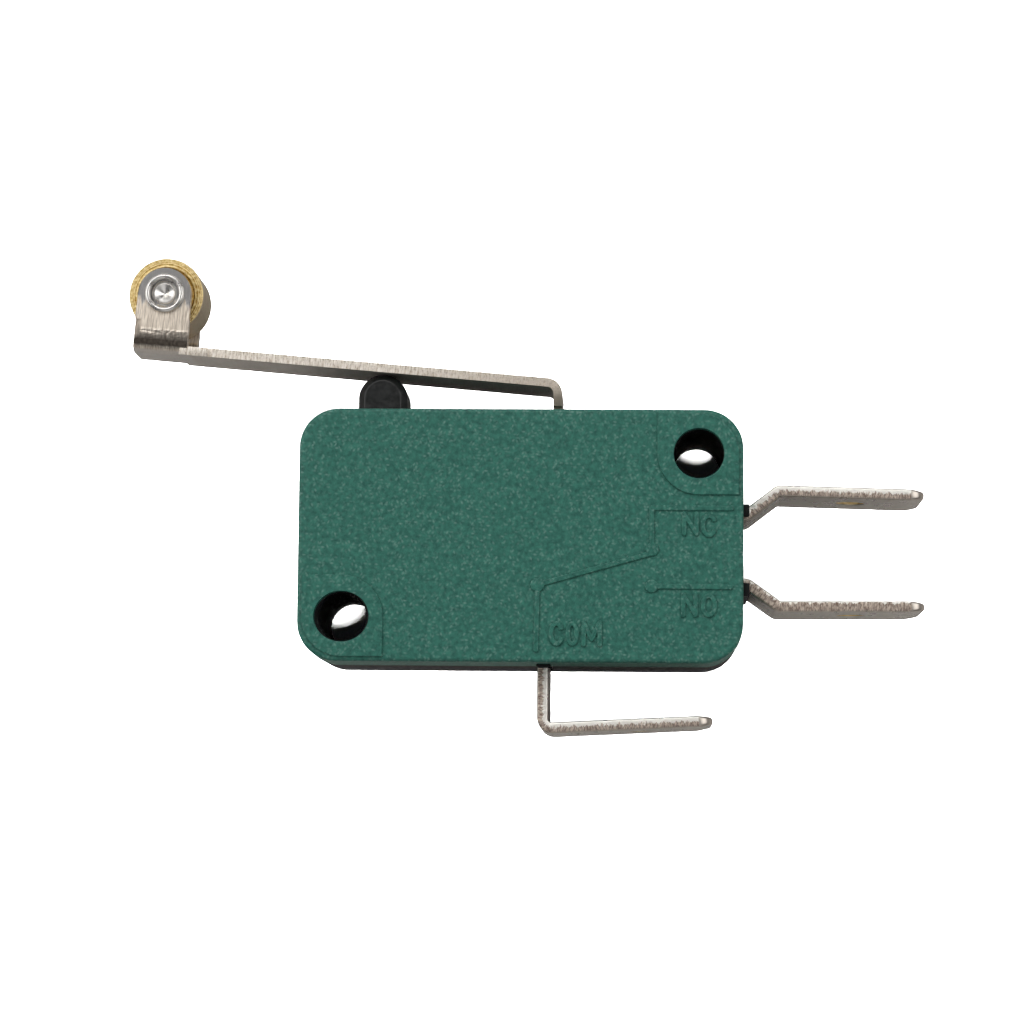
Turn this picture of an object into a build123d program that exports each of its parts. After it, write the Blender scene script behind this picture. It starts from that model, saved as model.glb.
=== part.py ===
from build123d import *
import os
from math import acos, atan, atan2, cos, degrees, hypot, radians, sin, sqrt, tan

# Lever micro switch, lying on its rear face. Millimetres.
# Origin: centre of the two fixing holes, on the rear face.
# +X runs along the case to the two tabs, +Y up to the lever, +Z out of the front face.

# Case
hole_pitch_x = 22.2        # between the two fixing holes
hole_pitch_y = 10.3
corner_radius = 2.8        # the case's corners are concentric with the holes
case_depth = 10.3          # rear face to the pads' faces
inner_corner = 1.2         # round corners of the hollow inside
cover_depth = 3.9          # green cap, from the pads' faces to the parting line
pad_height = 0.15
plate_thickness = 1.2      # front wall of the cover
rear_wall = 1.2
side_wall = 1.2
lip_height = 0.8           # rim of the base that enters the cover
lip_thickness = 0.6
lip_clearance = 0.05
draft_angle = 0.4          # degrees, on the outside walls
cover_edge_bevel = 0.2
base_edge_bevel = 0.2

# Fixing holes
hole_radius = 1.55
cover_hole_radius = 1.58
cover_slot_stretch = 0.3   # the lower left hole in the cover is longer by this
tube_wall = 0.65           # moulded tube round each hole
tube_clearance = 0.1
tube_cap = 0.7             # cover thickness left over a tube
pad_radius = 2.6           # round corner of a pad, concentric with its hole
pad_inset = 0.3            # pad edge to case edge

# Supports inside the case
seat_wall = 1.0            # blocks on each side of a terminal
seat_reach = 1.9
hold_rib = 0.8             # ribs of the cover over the terminals
hold_rib_length = 1.8
guide_rib = 0.9            # ribs beside the plunger's flange
guide_length = 2.4
ledge_wall = 0.8           # pocket of the lever's foot
ledge_thickness = 1.0

# Sheet-metal terminals
tab_width = 6.3
tab_thickness = 0.7
tab_hole_radius = 0.9
tab_hole_from_tip = 4.5
tab_corner = 0.9
tab_bevel_length = 0.9
tab_bevel_depth = 0.2
tab_bend_inner = 0.15
slot_clearance = 0.1
inner_width = 5.2          # terminal width inside the case
nc_level = 1.53            # height of the upper terminal inside the case
no_level = -2.83
nc_tab_start = 3.06        # height of its tab's middle after the joggle
nc_tab_end = 2.82
no_tab_start = -4.24
no_tab_end = -4.18
joggle_from_wall = 0.25
joggle_length = 2.0
side_tab_length = 9.13     # joggle to tip
com_place = 1.42           # middle of the common terminal's upright
com_drop = 3.98            # case to the middle of the bent tab
com_tab_length = 10.63
com_tab_rise = 0.54
com_bend_outer = 0.95
fork_level = -2.3
fork_top_level = 3.2
fork_gap = 2.6             # opening between the two prongs
notch_depth = 0.2
notch_height = 0.7

# Contacts
contact_place = 8.2
contact_radius = 1.2
contact_height = 0.45
contact_edge = 0.15
contact_shank = 0.6
clinch_radius = 0.85
clinch_height = 0.25
contact_margin = 1.5       # terminal left beyond the contact's middle, inside
moving_half_height = 1.0
crown_drop = 0.14          # the heads fall away by this towards their rims
crown_radius = 0.3         # flat middle of each head
contact_gap = 0.03

# Contact arm and actuator arm: flat frames with knife edges, on the common terminal's fork
arm_width = 4.8
contact_arm_thickness = 0.3
contact_arm_level = 0.1    # height of its knife edge
contact_arm_bar = 0.7      # web between its window and the spring's hole
actuator_thickness = 0.4
actuator_level = -1.3
actuator_length = 12.5
actuator_plate_width = 3.2
actuator_bar = 0.8
knife_length = 0.3
knife_clearance = 0.05
shoulder_length = 1.2      # wide part that the actuator's rails run into

# Snap spring, a tension coil whose last turns are bent up as hooks
wire_radius = 0.15
wire_sides = 5             # a round wire, drawn plainly
coil_radius = 0.75
coil_pitch = 1.9
coil_turns = 4
bend_turn = 60             # degrees of the end turns that the bends take up
hook_turn = 250            # degrees
hook_hole_radius = 0.38
hook_clearance = 0.05
left_hook_distance = 6.9   # from the actuator's knife edge
right_hook_distance = 4.25

# Plunger
plunger_from_hole = 2.17   # along the case, from the left hole
plunger_width = 3.1        # its ends are full rounds
plunger_depth = 4.0
plunger_length = 7.3
plunger_chamfer = 0.4
plunger_clearance = 0.08
plunger_lever_gap = 0.06
plunger_arm_gap = 0.03
flange_overhang = 0.6
flange_thickness = 1.0
flange_clearance = 0.05

# Lever
lever_thickness = 0.55
lever_width = 4.7
lever_angle = 4.88         # degrees, rising to the left at rest
lever_swing = 8.0          # degrees of travel
lever_corner_x = 1.935     # inner corner of the bend
lever_corner_y = 9.683
lever_bend_outer = 1.0
lever_bend_inner = 0.25
leg_width = 3.4
leg_shoulder = 1.2         # bend corner to where the leg narrows
leg_clearance = 0.12
foot_width = 5.2
foot_height = 0.9
foot_round = 0.15
foot_clearance = 0.22
foot_top_clearance = 0.1
ear_width = 3.5
ear_top_radius = 1.65
yoke_width = 5.4
yoke_bend_inner = 0.35
yoke_end_chamfer = 0.45
yoke_lap = 0.5             # strip that runs into the yoke's floor
roller_out = 25.24         # bend corner to roller axis, along the strip
roller_up = 3.77           # strip underside to roller axis
nick_place = 22.0
nick_width = 0.22
nick_depth = 0.15

# Roller and its rivet
roller_radius = 2.4
roller_width = 3.9
roller_chamfer = 0.12
roller_groove_radius = 1.75
roller_groove_width = 0.24
roller_groove_depth = 0.08
pin_radius = 0.8
pin_clearance = 0.04
ring_radius = 1.2          # rolled ring on each end of the rivet
ring_wall = 0.26
ring_height = 0.26
core_radius = 0.7          # core inside the ring
core_height = 0.06
core_groove = 0.12
dimple_radius = 0.58
dimple_depth = 0.36

# Working lengths of the modelling itself
root = 0.3                 # how deep a rib, pad or seat is rooted in its wall
past = 1.0                 # how far a cut runs past the surface

# Derived places
case_length = hole_pitch_x + 2 * corner_radius
case_height = hole_pitch_y + 2 * corner_radius
middle = case_depth / 2                      # mid plane of all that moves
parting = case_depth - cover_depth
cover_face = case_depth - pad_height
cover_inside = cover_face - plate_thickness
half_length = case_length / 2
half_height = case_height / 2
right_inner = half_length - side_wall
ceiling = half_height - side_wall            # inner face of the top wall, and of the bottom one below
hollow_length = case_length - 2 * side_wall
hollow_height = case_height - 2 * side_wall
hole_right = (hole_pitch_x / 2, hole_pitch_y / 2)
hole_left = (-hole_pitch_x / 2, -hole_pitch_y / 2)
tube_radius = hole_radius + tube_wall
tube_top = case_depth - tube_cap
half_sheet = tab_thickness / 2
slope = radians(lever_angle)
hinge_x = lever_corner_x + lever_thickness / 2
hinge_y = ceiling - foot_top_clearance - foot_height / 2
nc_face = nc_level - half_sheet - contact_height
no_face = no_level + half_sheet + contact_height
contact_arm_x = com_place + half_sheet - notch_depth + knife_clearance
actuator_x = com_place - half_sheet + notch_depth - knife_clearance
plunger_place = plunger_from_hole - hole_pitch_x / 2
plunger_radius = plunger_width / 2
underside = lever_corner_y + (lever_corner_x - plunger_place) * tan(slope)
plunger_top = underside - (plunger_radius + plunger_lever_gap) / cos(slope) + plunger_radius
plunger_bottom = plunger_top - plunger_length


def block(x0, x1, y0, y1, z0, z1):
    """A box from its low and high corners."""
    size = Box(x1 - x0, y1 - y0, z1 - z0)
    return Pos((x0 + x1) / 2, (y0 + y1) / 2, (z0 + z1) / 2) * size


def rod(x, y, z0, z1, radius):
    """A round bar along Z."""
    return Pos(x, y, (z0 + z1) / 2) * Cylinder(radius, z1 - z0)


def drill(radius, length):
    """A round bar along Y, for holes across a sheet."""
    return Rot(90, 0, 0) * Cylinder(radius, length)


def rounded_block(length, height, radius, z0, z1):
    """A block with round corners, centred on the origin."""
    outline = Pos(0, 0, z0) * RectangleRounded(length, height, radius)
    return extrude(outline, amount=z1 - z0, dir=(0, 0, 1))


def bar_from_outline(points, z0, z1):
    """An outline in XY made solid between two heights."""
    face = make_face(Polyline(*points, close=True))
    return Pos(0, 0, z0) * extrude(face, amount=z1 - z0, dir=(0, 0, 1))


def corner_edges(solid, x, y):
    """The edges along Z that stand at one place."""
    near = 0.02
    found = solid.edges().filter_by(Axis.Z)
    return found.filter_by(lambda e: hypot(e.center().X - x, e.center().Y - y) < near)


# Openings in the case walls, shared by both mouldings

def terminal_openings():
    """Slots that the three terminals pass through."""
    half = half_sheet + slot_clearance
    low = middle - tab_width / 2 - slot_clearance
    high = middle + tab_width / 2 + slot_clearance
    slots = Part()
    for level in (nc_level, no_level):
        slots += block(right_inner - past, half_length + past, level - half, level + half, low, high)
    slots += block(com_place - half, com_place + half, -half_height - past, -ceiling + past, low, high)
    return slots


def plunger_opening():
    half = plunger_radius + plunger_clearance
    deep = plunger_depth / 2 + plunger_clearance
    left = plunger_place - half
    right = plunger_place + half
    return block(left, right, ceiling - root, half_height + past, middle - deep, middle + deep)


def leg_opening():
    """Slot for the lever's leg, with room for it to swing."""
    sway = (half_height - hinge_y) * tan(radians(lever_swing))
    left = lever_corner_x - sway - leg_clearance
    right = lever_corner_x + lever_thickness + leg_clearance
    deep = leg_width / 2 + leg_clearance
    return block(left, right, ceiling - root, half_height + past, middle - deep, middle + deep)


# Mouldings

def make_base():
    skin = Pos(0, 0, parting) * RectangleRounded(case_length, case_height, corner_radius)
    shell = extrude(skin, amount=parting, dir=(0, 0, -1), taper=draft_angle)
    shell = chamfer(shell.edges().group_by(Axis.Z)[0], base_edge_bevel)
    shell -= rounded_block(hollow_length, hollow_height, inner_corner, rear_wall, parting + past)
    # the rim that enters the cover
    step = side_wall - lip_thickness
    rim = rounded_block(case_length - 2 * step, case_height - 2 * step, corner_radius - step,
                        parting - root, parting + lip_height)
    shell += rim - rounded_block(hollow_length, hollow_height, inner_corner, rear_wall, case_depth)
    # seats stay inside the cover's hollow, and reach into the base's own wall only
    in_cover = rounded_block(hollow_length - 2 * lip_clearance, hollow_height - 2 * lip_clearance,
                             inner_corner, parting - root, case_depth)
    in_base = rounded_block(hollow_length + 2 * root, hollow_height + 2 * root, inner_corner, 0, parting)
    shell += terminal_seats() & (in_cover + in_base)
    shell += plunger_guides() + hinge_ledge()
    for x, y in (hole_right, hole_left):
        # the cover's tube sleeve needs its own room above the parting line
        shell -= rod(x, y, parting, case_depth, tube_radius + 2 * tube_clearance)
        shell += rod(x, y, rear_wall / 2, tube_top, tube_radius)
        shell -= rod(x, y, -past, case_depth + past, hole_radius)
    return shell - terminal_openings() - plunger_opening() - leg_opening()


def terminal_seats():
    """Blocks on the walls that hold the terminals' edges."""
    half = half_sheet + slot_clearance + seat_wall
    gap = half_sheet + slot_clearance / 2
    top = middle + inner_width / 2
    low = middle - inner_width / 2 - slot_clearance
    near = right_inner - seat_reach
    far = right_inner + root
    seats = Part()
    for level in (nc_level, no_level):
        seats += block(near, far, level - half, level + half, rear_wall / 2, top)
        seats -= block(near - past, far + past, level - gap, level + gap, low, case_depth)
    seats += block(com_place - half, com_place + half, -ceiling - root, -ceiling + seat_reach,
                   rear_wall / 2, top)
    seats -= block(com_place - gap, com_place + gap, -ceiling - past, -ceiling + seat_reach + past,
                   low, case_depth)
    return seats


def plunger_guides():
    """Two ribs that keep the plunger's flange upright."""
    near = plunger_radius + flange_overhang + plunger_clearance
    far = near + guide_rib
    ribs = Part()
    for side in (-1, 1):
        x = sorted((plunger_place + side * near, plunger_place + side * far))
        ribs += block(x[0], x[1], ceiling - guide_length, ceiling + root, rear_wall / 2, parting)
    return ribs


def hinge_ledge():
    """The shelf and two cheeks that carry the lever's foot."""
    shelf_top = hinge_y - foot_height / 2 - foot_top_clearance
    cheek = lever_thickness / 2 + foot_clearance
    left = hinge_x - cheek - ledge_wall
    right = hinge_x + cheek + ledge_wall
    ledge = block(left, right, shelf_top - ledge_thickness, ceiling + root, rear_wall / 2, parting)
    foot_low = middle - foot_width / 2 - leg_clearance
    return ledge - block(hinge_x - cheek, hinge_x + cheek, shelf_top, ceiling, foot_low, case_depth)


def make_pad(x, y):
    """Raised pad: it follows the case's corner, and one of its corners is round about the hole."""
    side_x = 1 if x > 0 else -1
    side_y = 1 if y > 0 else -1
    reach_x = half_length - pad_inset - abs(x)
    reach_y = half_height - pad_inset - abs(y)
    outline = Pos(x, y) * Circle(pad_radius)
    outline += Pos(x + side_x * reach_x / 2, y + side_y * (reach_y - pad_radius) / 2) * Rectangle(
        reach_x, reach_y + pad_radius)
    outline += Pos(x + side_x * (reach_x - pad_radius) / 2, y + side_y * reach_y / 2) * Rectangle(
        reach_x + pad_radius, reach_y)
    outline = outline & RectangleRounded(case_length - 2 * pad_inset, case_height - 2 * pad_inset,
                                         corner_radius - pad_inset)
    return extrude(Pos(0, 0, cover_face - root) * outline, amount=pad_height + root, dir=(0, 0, 1))


def make_cover():
    skin = Pos(0, 0, parting) * RectangleRounded(case_length, case_height, corner_radius)
    shell = extrude(skin, amount=cover_face - parting, dir=(0, 0, 1), taper=draft_angle)
    shell = chamfer(shell.edges().group_by(Axis.Z)[-1], cover_edge_bevel)
    shell -= rounded_block(hollow_length, hollow_height, inner_corner, parting - past, cover_inside)
    # rebate for the base's rim
    step = side_wall - lip_thickness - lip_clearance
    shell -= rounded_block(case_length - 2 * step, case_height - 2 * step, corner_radius - step,
                           parting - past, parting + lip_height + lip_clearance)
    for x, y in (hole_right, hole_left):
        shell += make_pad(x, y)
        shell -= rod(x, y, parting - past, tube_top, tube_radius + tube_clearance)
    shell += hold_down_ribs()
    shell -= rod(*hole_right, parting, case_depth + past, cover_hole_radius)
    oval = Ellipse(cover_hole_radius + cover_slot_stretch / 2, cover_hole_radius)
    shell -= extrude(Pos(*hole_left, parting) * oval, amount=cover_depth + past, dir=(0, 0, 1))
    return shell - terminal_openings() - plunger_opening() - leg_opening()


def hold_down_ribs():
    """Ribs under the front wall that stop just above the terminals."""
    bottom = middle + inner_width / 2 + 2 * slot_clearance
    top = cover_inside + root
    half = hold_rib / 2
    ribs = Part()
    for level in (nc_level, no_level):
        ribs += block(right_inner - hold_rib_length, right_inner + root,
                      level - half, level + half, bottom, top)
    return ribs + block(com_place - half, com_place + half, -ceiling - root, fork_level - half,
                        bottom, top)


# Plunger

def make_plunger():
    """A round-ended bar with bevelled faces and a flange that stays inside the case."""
    outline = Rot(0, 0, 90) * SlotOverall(plunger_length, plunger_width)
    body = extrude(outline, amount=plunger_depth / 2, both=True)
    rims = body.edges().group_by(Axis.Z)
    body = chamfer(rims[0] + rims[-1], plunger_chamfer)
    body = Pos(plunger_place, (plunger_top + plunger_bottom) / 2, middle) * body
    top = ceiling - flange_clearance
    wide = plunger_radius + flange_overhang
    deep = plunger_depth / 2
    flange = block(plunger_place - wide, plunger_place + wide, top - flange_thickness, top,
                   middle - deep, middle + deep)
    return body + chamfer(flange.edges().filter_by(Axis.Y), plunger_chamfer)


# Lever: one folded strip

def on_strip(back, up):
    """Place of a point: back along the strip from the bend corner, up from its underside."""
    x = lever_corner_x - back * cos(slope) + up * sin(slope)
    y = lever_corner_y + back * sin(slope) + up * cos(slope)
    return x, y


def make_lever():
    low = middle - lever_width / 2
    high = middle + lever_width / 2
    leg_left = lever_corner_x
    leg_right = lever_corner_x + lever_thickness
    foot_bottom = hinge_y - foot_height / 2
    outer_y = lever_corner_y + lever_thickness / cos(slope) - lever_thickness * tan(slope)
    strip_end = roller_out - ear_width / 2 + yoke_lap
    outline = [
        (leg_left, foot_bottom), (leg_right, foot_bottom), (leg_right, outer_y),
        on_strip(strip_end, lever_thickness), on_strip(strip_end, 0), (lever_corner_x, lever_corner_y),
    ]
    strip = bar_from_outline(outline, low, high)
    strip = fillet(corner_edges(strip, leg_right, outer_y), lever_bend_outer)
    strip = fillet(corner_edges(strip, lever_corner_x, lever_corner_y), lever_bend_inner)
    # the leg is narrower than the strip, and its foot is wider
    for side in (-1, 1):
        z = sorted((middle + side * leg_width / 2, middle + side * (lever_width / 2 + past)))
        strip -= block(leg_left - past, leg_right + past, foot_bottom - past,
                       lever_corner_y - leg_shoulder, z[0], z[1])
    foot = block(leg_left, leg_right, foot_bottom, foot_bottom + foot_height,
                 middle - foot_width / 2, middle + foot_width / 2)
    strip += fillet(foot.edges().filter_by(Axis.Z), foot_round)
    lever = strip + make_yoke()
    x, y = on_strip(roller_out, roller_up)
    lever -= rod(x, y, 0, case_depth, pin_radius)
    # a small nick in the front edge of the strip
    x, y = on_strip(nick_place, lever_thickness / 2)
    nick = Rot(0, 0, -lever_angle) * Box(nick_width, 4 * lever_thickness, 2 * nick_depth)
    return lever - Pos(x, y, high) * nick


def make_yoke():
    """Channel with two ears: a bent section drawn along the strip, then cut to the ears' outline."""
    half_ear = ear_width / 2
    ear_top = roller_up + ear_top_radius
    # section: across the strip, and up from its underside
    channel = Pos(0, ear_top / 2) * Rectangle(yoke_width, ear_top)
    channel = fillet(channel.vertices().group_by(Axis.Y)[0], yoke_bend_inner + lever_thickness)
    inside = Pos(0, ear_top / 2 + lever_thickness) * Rectangle(yoke_width - 2 * lever_thickness, ear_top)
    channel -= fillet(inside.vertices().group_by(Axis.Y)[0], yoke_bend_inner)
    x, y = on_strip(roller_out - half_ear, 0)
    section = Plane(origin=(x, y, middle), x_dir=(0, 0, 1), z_dir=(-cos(slope), sin(slope), 0))
    body = extrude(section * channel, amount=ear_width)
    # the ears' outline, seen from the front
    x, y = on_strip(roller_out, 0)
    front = Plane(origin=(x, y, middle), x_dir=(cos(slope), -sin(slope), 0), z_dir=(0, 0, 1))
    shoulder = roller_up / 2
    outline = Pos(0, roller_up) * Circle(ear_top_radius)
    outline += make_face(Polyline(
        (-half_ear, -past), (half_ear, -past), (half_ear, shoulder), (ear_top_radius, roller_up),
        (-ear_top_radius, roller_up), (-half_ear, shoulder), close=True))
    body = body & extrude(front * outline, amount=yoke_width / 2 + past, both=True)
    # the free end of the channel's floor is clipped at its corners
    x, y = on_strip(roller_out + half_ear, 0)
    side = yoke_end_chamfer * sqrt(2)
    clip = Rot(0, 0, -lever_angle) * Rot(0, 45, 0) * Box(side, 4 * lever_thickness, side)
    for sign in (-1, 1):
        body -= Pos(x, y, middle + sign * yoke_width / 2) * clip
    return body


# Roller and rivet

def make_roller():
    x, y = on_strip(roller_out, roller_up)
    bore = pin_radius + pin_clearance
    half = roller_width / 2
    rim = half - roller_chamfer
    groove = roller_groove_width / 2
    profile = [
        (bore, -half), (roller_radius - roller_chamfer, -half), (roller_radius, -rim),
        (roller_radius, rim), (roller_radius - roller_chamfer, half),
        (roller_groove_radius + groove, half), (roller_groove_radius, half - roller_groove_depth),
        (roller_groove_radius - groove, half), (bore, half),
    ]
    face = Plane.XZ * make_face(Polyline(*profile, close=True))
    return Pos(x, y, middle) * revolve(face, Axis.Z)


def make_roller_pin():
    """Rivet: a plain shank, and at each end a rolled ring round a dimpled core."""
    x, y = on_strip(roller_out, roller_up)
    seat = yoke_width / 2
    ring_inner = ring_radius - ring_wall
    ring_top = seat + ring_height
    bevel = ring_wall / 2
    core_top = seat + core_height
    floor = seat - core_groove
    # half of the section, from the middle of the shank to one end
    outline = [
        (0, 0), (0, seat - dimple_depth), (dimple_radius, core_top), (core_radius, core_top),
        (core_radius, floor), (ring_inner, floor), (ring_inner, ring_top),
        (ring_radius - bevel, ring_top), (ring_radius, ring_top - bevel),
        (ring_radius, seat), (pin_radius, seat), (pin_radius, 0),
    ]
    half = revolve(Plane.XZ * make_face(Polyline(*outline, close=True)), Axis.Z)
    return Pos(x, y, middle) * (half + Rot(180, 0, 0) * half)


# Terminals

def sheet_along(points, thickness, z0, z1):
    """A bent sheet of even thickness whose middle line follows the points. Its end is bevelled."""
    half = thickness / 2
    left = []
    right = []
    last = len(points) - 1
    for i, point in enumerate(points):
        here = Vector(*point)
        into = here - Vector(*points[i - 1]) if i > 0 else Vector(*points[1]) - here
        out = Vector(*points[i + 1]) - here if i < last else into
        a = into.normalized()
        b = out.normalized()
        mean = Vector(-(a.Y + b.Y), a.X + b.X).normalized()
        reach = mean * (half / (mean.Y * a.X - mean.X * a.Y))
        left.append((here.X + reach.X, here.Y + reach.Y))
        right.append((here.X - reach.X, here.Y - reach.Y))
    end = Vector(*points[-1])
    along = (end - Vector(*points[-2])).normalized()
    across = Vector(-along.Y, along.X)
    thin = half - tab_bevel_depth
    tip = []
    for back, out in ((tab_bevel_length, half), (0, thin), (0, -thin), (tab_bevel_length, -half)):
        place = end - along * back + across * out
        tip.append((place.X, place.Y))
    outline = left[:-1] + tip + right[:-1][::-1]
    return bar_from_outline(outline, z0, z1), left, right


def tab_end(sheet, tip_x, tip_y, angle):
    """Clipped corners and the detent hole of a push-on tab."""
    turn = Rot(0, 0, angle)
    side = tab_corner * sqrt(2)
    for sign in (-1, 1):
        clip = Rot(0, 45, 0) * Box(side, 4 * tab_thickness, side)
        sheet -= Pos(tip_x, tip_y, middle + sign * tab_width / 2) * turn * clip
    hole = Pos(-tab_hole_from_tip, 0, 0) * drill(tab_hole_radius, 4 * tab_thickness)
    return sheet - Pos(tip_x, tip_y, middle) * turn * hole


def narrow_inside(sheet, x0, x1, y0, y1):
    """Trim the part of a terminal that lies inside the case to its inner width."""
    for side in (-1, 1):
        z = sorted((middle + side * inner_width / 2, middle + side * (tab_width / 2 + past)))
        sheet -= block(x0, x1, y0, y1, z[0], z[1])
    return sheet


def make_side_terminal(level, tab_start, tab_finish):
    joggle_start = half_length + joggle_from_wall
    joggle_end = joggle_start + joggle_length
    tip = joggle_end + side_tab_length
    inner_end = contact_place - contact_margin
    line = [(inner_end, level), (joggle_start, level), (joggle_end, tab_start), (tip, tab_finish)]
    sheet, left, right = sheet_along(line, tab_thickness, middle - tab_width / 2, middle + tab_width / 2)
    rising = tab_start > level
    inner_corners = (left[1], right[2]) if rising else (right[1], left[2])
    outer_corners = (right[1], left[2]) if rising else (left[1], right[2])
    for place in inner_corners:
        sheet = fillet(corner_edges(sheet, *place), tab_bend_inner)
    for place in outer_corners:
        sheet = fillet(corner_edges(sheet, *place), tab_bend_inner + tab_thickness)
    angle = degrees(atan((tab_finish - tab_start) / side_tab_length))
    sheet = tab_end(sheet, tip, tab_finish, angle)
    sheet = narrow_inside(sheet, 0, right_inner, level - past, level + past)
    return sheet - Pos(contact_place, level, middle) * drill(contact_shank, 4 * tab_thickness)


def make_common_terminal():
    corner = -half_height - com_drop
    tip_x = com_place + com_tab_length
    tip_y = corner + com_tab_rise
    line = [(com_place, fork_top_level), (com_place, corner), (tip_x, tip_y)]
    sheet, left, right = sheet_along(line, tab_thickness, middle - tab_width / 2, middle + tab_width / 2)
    sheet = fillet(corner_edges(sheet, *left[1]), com_bend_outer - tab_thickness)
    sheet = fillet(corner_edges(sheet, *right[1]), com_bend_outer)
    sheet = tab_end(sheet, tip_x, tip_y, degrees(atan(com_tab_rise / com_tab_length)))
    sheet = narrow_inside(sheet, com_place - past, com_place + past, -ceiling, fork_top_level + past)
    # the fork that the two arms pivot on
    sheet -= block(com_place - past, com_place + past, fork_level, fork_top_level + past,
                   middle - fork_gap / 2, middle + fork_gap / 2)
    sheet -= notch(com_place + half_sheet, contact_arm_level, 1)
    return sheet - notch(com_place - half_sheet, actuator_level, -1)


def notch(face_x, level, side):
    """A V across both prongs for a knife edge, open towards one side."""
    steep = notch_height / 2 / notch_depth
    mouth = face_x + side * notch_depth
    high = 2 * notch_depth * steep
    points = [(mouth, level + high), (face_x - side * notch_depth, level), (mouth, level - high)]
    return bar_from_outline(points, 0, case_depth)


# Contacts

def make_fixed_contact(level, head_side):
    """Rivet contact: a flat head towards the moving contact, a shank and a clinched tail."""
    head = half_sheet + contact_height
    tail = -half_sheet - clinch_height
    profile = [
        (0, head), (contact_radius - contact_edge, head), (contact_radius, head - contact_edge),
        (contact_radius, half_sheet), (contact_shank, half_sheet), (contact_shank, -half_sheet),
        (clinch_radius, -half_sheet), (clinch_radius, tail), (0, tail),
    ]
    body = revolve(make_face(Polyline(*profile, close=True)), Axis.Y)
    if head_side < 0:
        body = Rot(180, 0, 0) * body
    return Pos(contact_place, level, middle) * body


def make_moving_contact():
    """Rivet with a crowned head on each side of the contact arm."""
    seat = contact_arm_thickness / 2
    rim = moving_half_height - crown_drop
    # half of the section, from the middle of the arm to the top of one crown
    outline = [
        (0, 0), (contact_shank, 0), (contact_shank, seat), (contact_radius, seat), (contact_radius, rim),
        (crown_radius, moving_half_height), (0, moving_half_height),
    ]
    half = revolve(make_face(Polyline(*outline, close=True)), Axis.Y)
    body = half + Rot(180, 0, 0) * half
    return contact_arm_place() * Pos(contact_place - contact_arm_x, 0, 0) * body


# The two inner arms are drawn flat, with the knife edge at the origin, and then set at their rest angle

def contact_arm_place():
    """The moving contact rests just under the upper fixed contact."""
    drop = nc_face - contact_gap - moving_half_height - contact_arm_level
    angle = degrees(atan(drop / (contact_place - contact_arm_x)))
    return Pos(contact_arm_x, contact_arm_level, middle) * Rot(0, 0, angle)


def actuator_place(travel=0.0):
    """The arm lies just under the plunger's round end, also when the plunger has moved down."""
    across = actuator_x - plunger_place
    above = plunger_bottom - travel + plunger_radius - actuator_level
    apart = plunger_radius + plunger_arm_gap + actuator_thickness / 2
    angle = degrees(acos(apart / hypot(across, above)) - atan2(across, above))
    return Pos(actuator_x, actuator_level, middle) * Rot(0, 0, -angle)


def hole_past_hook():
    """From a hook's middle to the middle of its hole: the wire bears on the hole's edge."""
    return coil_radius - wire_radius + hook_hole_radius - hook_clearance


def knife_frame(length, window, thickness, side):
    """A flat frame with two knife-edged rails. It runs from the knife edge towards one side."""
    half = thickness / 2
    knife = side * knife_length
    points = [(0, 0), (knife, half), (side * length, half), (side * length, -half), (knife, -half)]
    plate = bar_from_outline(points, -arm_width / 2, arm_width / 2)
    x = sorted((-side * past, side * window))
    return plate - block(x[0], x[1], -past, past, -fork_gap / 2, fork_gap / 2)


def make_contact_arm():
    contact = contact_place - contact_arm_x
    hole = right_hook_distance + hole_past_hook()
    window = hole - hook_hole_radius - contact_arm_bar
    arm = knife_frame(contact + contact_radius, window, contact_arm_thickness, 1)
    arm -= Pos(contact, 0, 0) * drill(contact_shank, 4 * contact_arm_thickness)
    arm -= Pos(hole, 0, 0) * drill(hook_hole_radius, 4 * contact_arm_thickness)
    return contact_arm_place() * arm


def make_actuator_arm():
    hole = left_hook_distance + hole_past_hook()
    window = hole - hook_hole_radius - actuator_bar
    arm = knife_frame(actuator_length, window, actuator_thickness, -1)
    # narrower under the plunger
    for side in (-1, 1):
        z = sorted((side * actuator_plate_width / 2, side * (arm_width / 2 + past)))
        arm -= block(-actuator_length - past, -window - shoulder_length, -past, past, z[0], z[1])
    arm -= Pos(-hole, 0, 0) * drill(hook_hole_radius, 4 * actuator_thickness)
    return actuator_place() * arm


# Snap spring

def spring_ends():
    """Middles of the left and right hooks at rest."""
    left = actuator_place() * Pos(-left_hook_distance, 0, 0)
    right = contact_arm_place() * Pos(right_hook_distance, 0, 0)
    return left.position, right.position


def make_spring():
    """One length of wire: loop, straight run, bend, coil, bend, straight run, loop."""
    left, right = spring_ends()
    span = (right - left).length
    angle = degrees(atan2(right.Y - left.Y, right.X - left.X))
    coil_length = coil_pitch * coil_turns
    start = (span - coil_length) / 2
    end = start + coil_length
    # here the coil's axis lies along X, with the left hook's middle at the origin
    lead = coil_pitch * bend_turn / 360
    helix = Helix(pitch=coil_pitch, height=coil_length - 2 * lead, radius=coil_radius)
    helix = Pos(start + lead, 0, 0) * Rot(bend_turn, 0, 0) * Rot(0, 90, 0) * Rot(0, 0, 90) * helix
    along = (1, 0, 0)
    path = Wire([
        CenterArc((0, 0), coil_radius, 90 + hook_turn, -hook_turn),
        Line((0, coil_radius), (start, coil_radius)),
        Spline((start, coil_radius, 0), helix @ 0, tangents=[along, helix % 0]),
        helix,
        Spline(helix @ 1, (end, coil_radius, 0), tangents=[helix % 1, along]),
        Line((end, coil_radius), (span, coil_radius)),
        CenterArc((span, 0), coil_radius, 90, -hook_turn),
    ])
    section = Plane(origin=path @ 0, z_dir=path % 0) * RegularPolygon(wire_radius, wire_sides)
    return Pos(left.X, left.Y, middle) * Rot(0, 0, angle) * sweep(section, path=path)


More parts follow.
